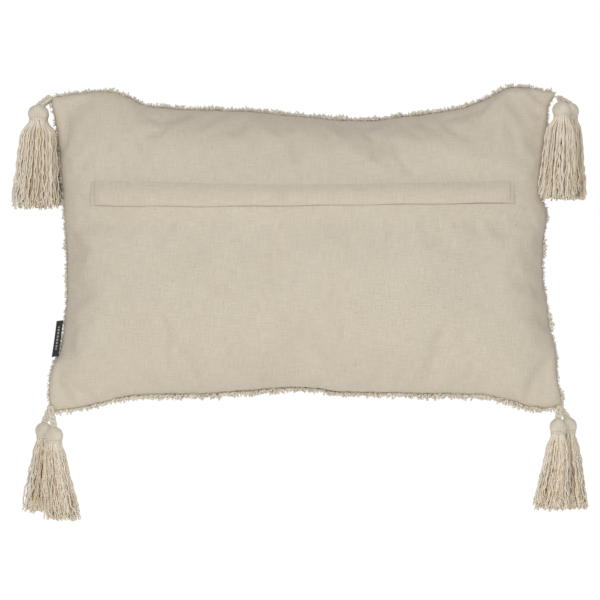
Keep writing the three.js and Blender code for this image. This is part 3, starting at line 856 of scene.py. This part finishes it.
tack_inset, thread_sink = 4.6 * MM, 0.05 * MM
for side, x in (("left", flap_left + tack_inset), ("right", flap_right - tack_inset)):
    tack = []
    for share in np.linspace(0.04, 0.94, 12):
        spot = flap_point(x, share, False)
        tack.append((spot[0], spot[1] - thread_sink, spot[2]))
    row = on_line(f"flap_tack_{side}", tack, lockstitch, Pitch=3 * MM, Length=2.5 * MM,
                  Radius=0.28 * MM, Thread=thread)
    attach(row, "root")

# ---- Zip ---------------------------------------------------------------------------------------
# A closed coil zip: two woven tapes sewn under the edges of the opening, a coil of nylon along
# each, plated zinc stops, and a zinc slider with a plain tab.


def zip_metal_material():
    """Zinc, die cast and nickel plated: bright, with the soft mottle of a tumbled casting."""
    material, shader, add = new_material("nickel_plated_die_cast_zinc", Metallic=1.0,
                                         Roughness=0.32)
    spot = add("TexCoord").outputs["Object"]
    mottle = add("TexNoise", {"Vector": spot, "Scale": 700.0, "Detail": 3.0})
    colour = add("ValToRGB", [mottle], stops=((0, "9b9a96"), (1, "c4c3bf")))
    rough = add("MapRange", {0: mottle, 3: 0.24, 4: 0.42})
    set_inputs(shader, {"Roughness": rough})
    surface(shader, colour, mottle, 0.15)
    return material


def ribbed(add, along, pitch, low, high):
    """The wave of a cloth's ribs across some direction, and its colours from low to high, which
    paint shade in the hollows and highlights on the ridges.
    """
    turn = add("Math", [along, 2 * math.pi / pitch], operation="MULTIPLY")
    wave = add("Math", [turn], operation="SINE")
    shade = add("MapRange", [wave, -1.0, 1.0])
    return wave, add("ValToRGB", [shade], stops=((0, low), (1, high)))


def tape_material():
    """Polyester zip tape, woven in a close herringbone 1.2 mm wide."""
    material, shader, add = new_material("herringbone_woven_polyester_tape", Roughness=0.75,
                                         Sheen_Weight=0.2)
    spot = add("TexCoord").outputs["Object"]
    split = add("SeparateXYZ", [spot])
    zigzag = add("Math", [split.outputs[2], 1.2 * MM], operation="PINGPONG")
    slant = add("Math", [split, zigzag], operation="ADD")
    # Painted shade between the tape's ribs, and painted highlights on them.
    wave, colour = ribbed(add, slant, 0.8 * MM, "b3a890", "d4cab4")
    surface(shader, colour, wave, 0.4)
    return material


zip_metal = zip_metal_material()
tape_cloth = tape_material()
for node, material in (("zip_slider", zip_metal), ("zip_puller", zip_metal),
                       ("zip_stop_top", zip_metal), ("zip_stop_bottom", zip_metal),
                       ("zip_tape_upper", tape_cloth), ("zip_tape_lower", tape_cloth)):
    frame["nodes"][node].data.materials.clear()
    frame["nodes"][node].data.materials.append(material)


def coil_material():
    """Nylon monofilament, wound and heat set: smooth and slightly translucent cream."""
    material, shader, add = new_material("heat_set_nylon_coil", Roughness=0.35, IOR=1.53,
                                         Subsurface_Weight=0.1)
    spot = add("TexCoord").outputs["Object"]
    cloud = add("TexNoise", {"Vector": spot, "Scale": 90.0})
    set_inputs(shader, {"Base Color": add(
        "ValToRGB", [cloud], stops=((0, "bdb29b"), (1, "d6ccb6")))})
    return material


def coil_tree():
    """Coil teeth set along a line of edges, each a flattened loop across the line."""
    add, given = new_geometry_tree("zip_coil", Pitch="Float", Width="Float", Height="Float",
                                   Nylon="Material")
    spots, turned = spots_along(add, given["Geometry"], given["Pitch"])
    loop = add("GeometryNodeCurvePrimitiveCircle", {"Resolution": 8, "Radius": 0.5})
    wire = add("GeometryNodeCurvePrimitiveCircle", {"Resolution": 4, "Radius": 0.17})
    tooth = add("GeometryNodeCurveToMesh", {"Curve": loop, "Profile Curve": wire})
    upright = add("FunctionNodeAlignRotationToVector", {0: turned, "Vector": (0, 0, 1)},
                  axis="X", pivot_axis="Z")
    size = add("CombineXYZ", [given["Width"], given["Height"], given["Height"]])
    teeth = real_copies(add, {"Points": spots, "Instance": tooth, "Rotation": upright,
                              "Scale": size})
    return end_tree(add, teeth, given["Nylon"])


nylon = coil_material()
zip_coil = coil_tree()
axis_y = next(joint for joint in frame["joints"] if joint["name"] == "zip_slide")["pos_m"][1]
for name in ("upper", "lower"):
    node = f"zip_chain_{name}"
    low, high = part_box(node)
    chain = frame["nodes"][node].data.vertices
    radii = [math.hypot(v.co.x, axis_y - v.co.y) for v in chain]
    radius = (max(radii) + min(radii)) / 2
    reach = math.asin(high.x / radius)
    line = [(radius * math.sin(a), axis_y - radius * math.cos(a), (low.z + high.z) / 2)
            for a in np.linspace(-reach, reach, 160)]
    coil = on_line(f"coil_{name}", line, zip_coil, Pitch=1.3 * MM,
                   Width=high.z - low.z - 0.3 * MM, Height=1.7 * MM, Nylon=nylon)
    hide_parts(node)
    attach(coil, "root")

# ---- Inner cushion -----------------------------------------------------------------------------
# A plain white pad that slips in through the zip: spun-bonded cloth sewn round loose polyester
# fibre. Only a strip of it can be seen, through the opening.


def inner_form(name, inset, back_depth, front_depth, lump, seed):
    """A closed form of the cushion's own shape, drawn in by inset, with a few lumps."""
    x, z, swelled = cushion_grid(56, 23, 11)
    thinnest, half_height = 0.004, 0.15
    shrink_x = 1 - inset / half_width
    shrink_z = 1 - inset / half_height
    draw_lumps = np.random.default_rng(seed)
    waves = [draw_lumps.uniform((20, 20, 0), (60, 60, 6)) for _ in range(6)]
    lumps = sum(np.sin(a * x + b * z + c) for a, b, c in waves) / len(waves)
    body = np.maximum(thinnest, swelled - lump * (1 + lumps) * np.minimum(1, 4 * swelled))
    mesh, _ = cushion_shell(name, x * shrink_x, z * shrink_z, back_depth * body,
                            front_depth * body)
    mesh.polygons.foreach_set("material_index", [0] * len(mesh.polygons))
    return finished(placed(name, mesh), levels=1)


def fibre_material(name, dark, light, scale, roughness):
    """White polyester: bonded filaments lie every way, as faint hairs over a soft mottle."""
    material, shader, add = new_material(name, Roughness=roughness, Sheen_Weight=0.3)
    spot = add("TexCoord").outputs["Object"]
    hairs = add("TexNoise", {"Vector": spot, "Scale": scale, "Detail": 6.0, "Distortion": 2.5})
    colour = add("ValToRGB", [hairs], stops=((0.3, dark), (0.65, light)))
    surface(shader, colour, hairs, 0.5, 0.4 * MM)
    return material


casing_back = -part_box("inner_casing_back")[0].y
casing_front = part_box("inner_casing_front")[1].y
pad = inner_form("inner_pad", 12 * MM, casing_back, casing_front, 0.012, 3)
pad.data.materials.append(fibre_material("spun_bonded_polyester_cloth", "dcdad4", "f3f2ee",
                                         300.0, 0.8))
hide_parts("inner_casing_back", "inner_casing_front")
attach(pad, "root")

fibre = inner_form("fibre_filling", 20 * MM, casing_back - 2 * MM, casing_front - 2 * MM,
                   0.03, 5)
fibre.data.materials.append(fibre_material("loose_hollow_polyester_fibre", "e4e3df", "fbfbf9",
                                           120.0, 0.95))
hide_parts("filling")
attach(fibre, "root")

# ---- Side label --------------------------------------------------------------------------------
# A plain black tab of woven satin ribbon, folded double and caught in the left side seam.

label_top = (-253.2 * MM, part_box("side_label")[1].z - centre_z)
label_foot = (-258.4 * MM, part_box("side_label")[0].z - centre_z)
label_reach, label_half = 6.6 * MM, 0.55 * MM
label_columns, label_rows = 8, 24
label_bow, label_seat = 1.2 * MM, -2.6 * MM
label_lean, label_droop, label_curl = 0.22, 0.14, 0.3
section = [(label_reach * k / label_columns, -label_half) for k in range(label_columns + 1)]
for turn in np.linspace(-math.pi / 2, math.pi / 2, 5)[1:-1]:
    section.append((label_reach + label_half * math.cos(turn), label_half * math.sin(turn)))
section += [(out, label_half) for out, _ in section[label_columns::-1]]
label_vertices = []
for share in np.linspace(0, 1, label_rows + 1):
    x = label_top[0] + (label_foot[0] - label_top[0]) * share
    z = label_top[1] + (label_foot[1] - label_top[1]) * share
    for out, thick in section:
        bow = label_bow * math.sin(math.pi * share) * (out / label_reach)
        label_vertices.append((x - out + label_curl * bow,
                               label_seat - label_lean * out + thick - bow,
                               centre_z + z - label_droop * out))
size = len(section)
label_faces = ring_faces(label_rows + 1, size)
for start, turn in ((0, -1), (label_rows * size, 1)):
    for k in range(size // 2):
        far = size - 1 - k
        loop = [start + k, start + k + 1, start + far - 1, start + far][::turn]
        label_faces.append([v for n, v in enumerate(loop) if v not in loop[:n]])
label_mesh = bpy.data.meshes.new("side_tab")
label_mesh.from_pydata(label_vertices, [], label_faces)
outward(label_mesh)
blocks_at = (label_top[0] + label_foot[0]) / 2 - 3.4 * MM


def label_material():
    """Black polyester satin ribbon: fine warp ribs and a faint gloss, with a row of small pale
    woven blocks as its only mark."""
    block_half, block_pitch, block_gap, row_half = 0.9 * MM, 1.7 * MM, 0.6 * MM, 12 * MM
    material, shader, add = new_material("satin_woven_polyester_ribbon", Roughness=0.55,
                                         Sheen_Weight=0.25)
    spot = add("TexCoord").outputs["Object"]
    split = add("SeparateXYZ", [spot])
    # Painted shade between the ribbon's ribs, and painted highlights on them.
    wave, black = ribbed(add, split.outputs[2], 0.5 * MM, "131316", "24242a")
    slope = (label_foot[0] - label_top[0]) / (label_foot[1] - label_top[1])
    middle = centre_z + (label_top[1] + label_foot[1]) / 2
    along = add("Math", [split.outputs[2], middle], operation="SUBTRACT")
    across = add("Math", [along, -slope, split], operation="MULTIPLY_ADD")
    blocks = add("Math", [across, blocks_at, block_half], operation="COMPARE")
    beat = add("Math", [along, block_pitch], operation="PINGPONG")
    for edge, operation, limits in ((beat, "GREATER_THAN", [block_gap]),
                                    (along, "COMPARE", [0.0, row_half])):
        inside = add("Math", [edge, *limits], operation=operation)
        blocks = add("Math", [blocks, inside], operation="MULTIPLY")
    woven = add("Mix", {0: blocks, 6: black, 7: linear("a9a6a0")}, data_type="RGBA")
    surface(shader, woven.outputs[2], wave, 0.3)
    return material


label = finished(placed("side_tab", label_mesh), levels=1)
label.data.materials.append(label_material())
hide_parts("side_label")
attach(label, "root")

# ---- Tassels -----------------------------------------------------------------------------------
# Two on each corner. Each is a ball covered in fine yarn, on a loop of twisted cord, with a skirt
# of plied cotton yarns bound in below it by a few turns of the same yarn.

head_radius = 9.3 * MM
# The tassel yarn's golden-brown deep colour is painted shade between the yarns.
tassel_yarn = yarn_material("plied_cotton_tassel_yarn", "b07c38", "eedbb8", "fffaf1",
                            ply_pitch=4.5 * MM, ply_shade=0.3)
smooth_yarn = yarn_material("mercerised_cotton_yarn", "b3a17f", "ddd3c1", "f2ebde",
                            ply_pitch=9 * MM, strength=0.25)
# For each: how far the skirt's foot hangs to the right of its head, half its width there and its
# length in millimetres, the share of that width it has below the binding, and the head's size.
tassel_looks = {
    "top_left_back": (-4, 25, 90, 0.66, 1.12),
    "top_left_front": (8, 23, 88, 0.6, 1.0),
    "top_right_back": (-4, 22, 83, 0.6, 1.05),
    "top_right_front": (-1, 19, 84, 0.58, 1.0),
    "bottom_left_back": (10, 18, 79, 0.5, 1.0),
    "bottom_left_front": (-6, 16, 76, 0.5, 0.95),
    "bottom_right_back": (-8, 20, 77, 0.45, 0.95),
    "bottom_right_front": (5, 17, 78, 0.5, 0.95),
}


def skirt_tree():
    """Yarns that hang from a small ring, swell out below the binding and fall in loose waves."""
    add, given = new_geometry_tree(
        "tassel_skirt", Count="Int", Length="Float", Neck="Float", Spread="Float",
        Depth="Float", Lean="Float", Shoulder="Float", Radius="Float", Seed="Int",
        Yarn="Material")

    def by_yarn(low, high, key):
        """A number drawn once for each yarn."""
        seed = add("Math", [given["Seed"], key], operation="ADD")
        chance = add("FunctionNodeRandomValue", {2: low, 3: high, "Seed": seed},
                     data_type="FLOAT")
        return add("GeometryNodeFieldOnDomain", [chance.outputs[1]], domain="CURVE",
                   data_type="FLOAT")

    points = add("GeometryNodePoints", {"Count": given["Count"]})
    strand = add("GeometryNodeCurvePrimitiveLine", {"End": (0, 0, -1)})
    dense = add("GeometryNodeResampleCurve", {"Curve": strand, "Count": 26})
    straight = real_copies(add, {"Points": points, "Instance": dense})
    down = add("GeometryNodeSplineParameter")
    heading = by_yarn(-math.pi, math.pi, 1)
    inner = add("Math", [by_yarn(0.02, 1.0, 2), 0.45], operation="POWER")
    length = add("Math", [given["Length"], by_yarn(0.92, 1.04, 3)], operation="MULTIPLY")

    # How far each yarn stands from the middle, sideways and back to front.
    shoulder = add("MapRange", [down, 0.0, 0.17, 0.0, 1.0], interpolation_type="SMOOTHSTEP")
    flare = add("Math", [down, 0.8], operation="POWER")
    rest = add("Math", [1.0, given["Shoulder"]], operation="SUBTRACT")
    flare = add("Math", [flare, rest, given["Shoulder"]], operation="MULTIPLY_ADD")
    reaches = []
    for wide in (given["Spread"], given["Depth"]):
        body = add("Math", [flare, wide], operation="MULTIPLY")
        body = add("Math", [body, by_yarn(0.75, 1.1, 4)], operation="MULTIPLY")
        gap = add("Math", [body, given["Neck"]], operation="SUBTRACT")
        reach = add("Math", [shoulder, gap, given["Neck"]], operation="MULTIPLY_ADD")
        reaches.append(add("Math", [reach, inner], operation="MULTIPLY"))

    # Slow loose waves that grow down the yarn, and a fine crimp.
    phase = add("Math", [down, 4.5], operation="MULTIPLY")
    ripple = add("CombineXYZ", [phase, by_yarn(0, 40, 5), by_yarn(0, 40, 6)])
    stray = add("TexNoise", {"Vector": ripple, "Scale": 1.0, "Detail": 2.5, "Roughness": 0.65})
    sway = add("VectorMath", [stray.outputs[1], (0.5, 0.5, 0.5)], operation="SUBTRACT")
    loose = add("Math", [down, 14 * MM], operation="MULTIPLY")
    loose = add("Math", [loose, by_yarn(0.4, 1.2, 7)], operation="MULTIPLY")
    drift = add("VectorMath", {0: sway, "Scale": loose}, operation="SCALE")
    crimp = add("Math", [down, by_yarn(28, 48, 10), by_yarn(0, 6.3, 9)],
                operation="MULTIPLY_ADD")
    crimp = add("Math", [crimp], operation="SINE")
    for scale in (0.42 * MM, shoulder):
        crimp = add("Math", [crimp, scale], operation="MULTIPLY")

    lean = add("Math", [down, 1.4], operation="POWER")
    lean = add("Math", [given["Lean"], lean], operation="MULTIPLY")
    across = add("Math", [heading], operation="COSINE")
    across = add("Math", [across, reaches[0], lean], operation="MULTIPLY_ADD")
    across = add("Math", [across, crimp], operation="ADD")
    through = add("Math", [heading], operation="SINE")
    through = add("Math", [through, reaches[1], crimp], operation="MULTIPLY_ADD")
    fall = add("Math", [down, length], operation="MULTIPLY")
    fall = add("Math", [fall, -1.0], operation="MULTIPLY")
    spot = add("CombineXYZ", [across, through, fall])
    spot = add("VectorMath", [spot, drift], operation="ADD")
    hanging = add("GeometryNodeSetPosition", {"Geometry": straight, "Position": spot})

    # Yarns deep in the bundle are darker, as painted shade, each with a random tone too; the
    # painted shade lifts at their cut ends.
    depth = add("Math", [inner, 3.0], operation="POWER")
    depth = add("Math", [depth, 0.6, by_yarn(0.0, 0.3, 8)], operation="MULTIPLY_ADD")
    cut = add("MapRange", [down, 0.75, 0.95, 0.0, 0.55])
    tone = add("Math", [depth, cut], operation="MAXIMUM")
    for mark, value in (("along", down.outputs[1]), ("tone", tone)):
        hanging = add("GeometryNodeStoreNamedAttribute",
                      {"Geometry": hanging, "Name": mark, "Value": value},
                      data_type="FLOAT", domain="POINT")
    ring = add("GeometryNodeCurvePrimitiveCircle", {"Resolution": 4, "Radius": given["Radius"]})
    ring = add("GeometryNodeStoreNamedAttribute",
               {"Geometry": ring, "Name": "around",
                "Value": add("GeometryNodeSplineParameter")},
               data_type="FLOAT", domain="POINT")
    yarns = add("GeometryNodeCurveToMesh", {"Curve": hanging, "Profile Curve": ring,
                                            "Fill Caps": True})
    return end_tree(add, yarns, given["Yarn"])


def turned_shape(name, profile, segments, centre, dent):
    """A mesh turned about a vertical line. dent(turn, step) gives how far each point is pushed
    off its circle, and its tone."""
    cap_tone, cap_around = 0.3, 0.125
    vertices, tones = [], []
    for step, (radius, height) in enumerate(profile):
        for turn in 2 * math.pi * np.arange(segments) / segments:
            push, tone = dent(turn, step)
            wide = radius + push
            vertices.append(centre + Vector((wide * math.cos(turn), wide * math.sin(turn),
                                             height)))
            tones.append(tone)
    faces = ring_faces(len(profile), segments)
    for first, (_, height) in ((0, profile[0]), (len(tones) - segments, profile[-1])):
        vertices.append(centre + Vector((0, 0, height)))
        tones.append(cap_tone)
        for s in range(segments):
            faces.append((first + s, first + (s + 1) % segments, len(vertices) - 1))
    count = len(vertices)
    mesh = mesh_of(name, [(vertices, faces, [0.0] * count, [cap_around] * count, 0)])
    mesh.attributes["tone"].data.foreach_set("value", tones)
    outward(mesh)
    return mesh


def twisted_cord(name, points, radius, pitch):
    """A closed cord of two strands laid round each other along a closed path."""
    count, sides = len(points), 14
    strand_share, cord_tone = 0.38, 0.45
    vertices, along, around = [], [], []
    total = sum((points[k] - points[k - 1]).length for k in range(count))
    turns = max(1, round(total / pitch)) / 2
    run = 0.0
    for k, point in enumerate(points):
        ahead = (points[(k + 1) % count] - points[k - 1]).normalized()
        side = Vector((0, 1, 0)).cross(ahead).normalized()
        up = ahead.cross(side)
        for s in range(sides):
            turn = 2 * math.pi * s / sides
            lobe = turn - 2 * math.pi * turns * run / total
            wide = radius * (1 - strand_share + strand_share * abs(math.cos(lobe)))
            vertices.append(point + wide * (math.cos(turn) * side + math.sin(turn) * up))
            along.append(run)
            around.append(s / sides)
        run += (points[(k + 1) % count] - point).length
    faces = ring_faces(count, sides, closed=True)
    mesh = mesh_of(name, [(vertices, faces, along, around, cord_tone)])
    outward(mesh)
    return mesh


skirts = skirt_tree()
joint_at = {joint["name"]: Vector(joint["pos_m"]) for joint in frame["joints"]}
loop_half, loop_steps, leg_step = 1.75 * MM, 10, 0.8 * MM
cord_radius, lay = 1.9 * MM, 6 * MM
head_steps, head_top, neck_turn, wraps = 18, 0.03 * math.pi, 0.675 * math.pi, 34
rounds, round_steps, tie_height, tie_bulge = 2, 6, 2.8 * MM, 0.75 * MM
for number, (name, look) in enumerate(tassel_looks.items()):
    foot_right, spread, skirt_length, shoulder, head_size = look
    head_low, head_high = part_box(f"head_{name}")
    centre = Vector(((head_low.x + head_high.x) / 2, (head_low.y + head_high.y) / 2,
                     head_high.z - head_radius))

    # The loop of cord, from its seat on the corner into the top of the head.
    seat = joint_at[f"cord_swing_{name}"]
    foot = centre + Vector((0, 0, head_radius - 1.5 * MM))
    down = (foot - seat).normalized()
    length = (foot - seat).length
    sideways = (Vector((1, 0, 0)) - down * down.x).normalized()
    path = []
    for start, at in ((math.pi, loop_half), (0, length - loop_half)):
        for k in range(loop_steps + 1):
            turn = start + math.pi * k / loop_steps
            path.append(seat + down * (at + loop_half * math.sin(turn))
                        + sideways * (loop_half * math.cos(turn)))
        legs = max(2, round((length - 2 * loop_half) / leg_step))
        ends = (loop_half, length - loop_half)
        here, there = ends if start else ends[::-1]
        side = loop_half if start else -loop_half
        for k in range(1, legs):
            path.append(seat + down * (here + (there - here) * k / legs) + sideways * side)
    cord = placed(f"cord_loop_{name}", twisted_cord(f"cord_loop_{name}", path, cord_radius, lay))
    cord.data.materials.append(smooth_yarn)
    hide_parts(f"loop_{name}")
    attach(cord, f"cord_{name}")

    # The head: a ball wound from pole to pole, with the yarns' fine grooves between; its tone
    # puts painted shade in the grooves and painted highlights on the ridges.
    ball = head_radius * head_size
    profile = []
    for step in range(head_steps + 1):
        polar = head_top + (neck_turn - head_top) * step / head_steps
        profile.append((ball * math.sin(polar), head_radius * math.cos(polar)))

    def groove(turn, step, seed=number):
        deep = abs(math.sin(wraps * turn / 2 + 0.04 * step))
        uneven = math.sin(3 * turn + seed) * math.sin(0.3 * step + seed)
        return (0.3 * deep + 0.22 * uneven - 0.25) * MM, 0.05 + 0.62 * deep + 0.12 * uneven

    head = placed(f"tassel_head_{name}",
                  turned_shape(f"tassel_head_{name}", profile, 4 * wraps, centre, groove))
    head.data.materials.append(smooth_yarn)
    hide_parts(f"head_{name}")
    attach(head, f"tassel_{name}")

    # The binding: a few turns of yarn side by side round the neck, with painted highlights on
    # each ply's ridge and painted shade beside it.
    neck = ball * math.sin(neck_turn)
    neck_top = head_radius * math.cos(neck_turn)
    profile = []
    for step in range(rounds * round_steps + 1):
        bulge = tie_bulge * abs(math.sin(math.pi * step / round_steps)) ** 0.6
        drop = tie_height * step / (rounds * round_steps)
        profile.append((neck - 0.35 * MM + bulge, neck_top + 0.2 * MM - drop))

    def strand(turn, step):
        ply = math.sin(46 * turn + step)
        return 0.06 * MM * ply, 0.55 + 0.15 * ply

    binding = placed(f"neck_binding_{name}",
                     turned_shape(f"neck_binding_{name}", profile, 92, centre, strand))
    binding.data.materials.append(smooth_yarn)
    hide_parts(f"neck_tie_{name}")
    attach(binding, f"tassel_{name}")

    # The skirt of yarns, made about its neck and then moved to it.
    skirt = run_tree(placed(f"tassel_skirt_{name}", bpy.data.meshes.new("empty")), skirts,
                     Count=230, Length=skirt_length * MM, Neck=neck - 0.6 * MM,
                     Spread=spread * MM, Depth=10.5 * MM, Lean=foot_right * MM,
                     Shoulder=shoulder, Radius=0.74 * MM, Seed=10 * number,
                     Yarn=tassel_yarn)
    for vertex in skirt.data.vertices:
        vertex.co += centre + Vector((0, 0, neck_top - tie_height + 1.2 * MM))
    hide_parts(f"skirt_{name}")
    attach(skirt, f"tassel_{name}")

# ---- The studio --------------------------------------------------------------------------------
# The pillow hangs clear of a pale floor, in front of a white background, in broad soft light.

lens_distance = 3.0
view_width = 0.63
camera = bpy.data.objects.new("camera", bpy.data.cameras.new("camera"))
camera.data.lens = camera.data.sensor_width * lens_distance / view_width
camera.location = (-5 * MM, -lens_distance, centre_z - 51 * MM)
camera.rotation_euler = (math.pi / 2, 0, 0)
scene.collection.objects.link(camera)
scene.camera = camera


def stage_plane(name, corners, colour, glow):
    """A plain flat surface of the set, which may glow."""
    mesh = bpy.data.meshes.new(name)
    mesh.from_pydata(corners, [], [(0, 1, 2, 3)])
    plane = placed(name, mesh)
    paint = linear(colour)
    plane.data.materials.append(new_material(
        f"{name}_paint", Roughness=0.9, Base_Color=paint, Emission_Color=paint,
        Emission_Strength=glow)[0])


floor_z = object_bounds()[0][2] - 0.35
reach = 1.5
stage_plane("floor", [(-reach, -reach, floor_z), (reach, -reach, floor_z),
                      (reach, reach, floor_z), (-reach, reach, floor_z)], "f4f3f0", 0.25)
for name, spot, size, power in (("key", (-0.35, -2.6, 0.95), 1.3, 31),
                                ("fill", (0.9, -2.4, -0.5), 1.6, 6),
                                ("back", (0.5, 2.5, 0.8), 1.4, 34)):
    lamp = bpy.data.lights.new(name, "AREA")
    lamp.size = size
    lamp.energy = power
    light = bpy.data.objects.new(name, lamp)
    light.location = spot
    aim = Vector((0, 0, centre_z)) - Vector(spot)
    light.rotation_euler = aim.to_track_quat("-Z", "Y").to_euler()
    scene.collection.objects.link(light)
world = bpy.data.worlds.new("studio")
scene.world = world
world.use_nodes = True
room = world.node_tree
backdrop = room.nodes["Background"]
backdrop.inputs[0].default_value = (1, 1, 1, 1)
seen_directly = add_node(room, "LightPath").outputs["Is Camera Ray"]
glow = add_node(room, "MapRange", {0: seen_directly, 3: 0.35, 4: 1.0})
room.links.new(glow.outputs[0], backdrop.inputs[1])
scene.view_settings.view_transform = "Standard"
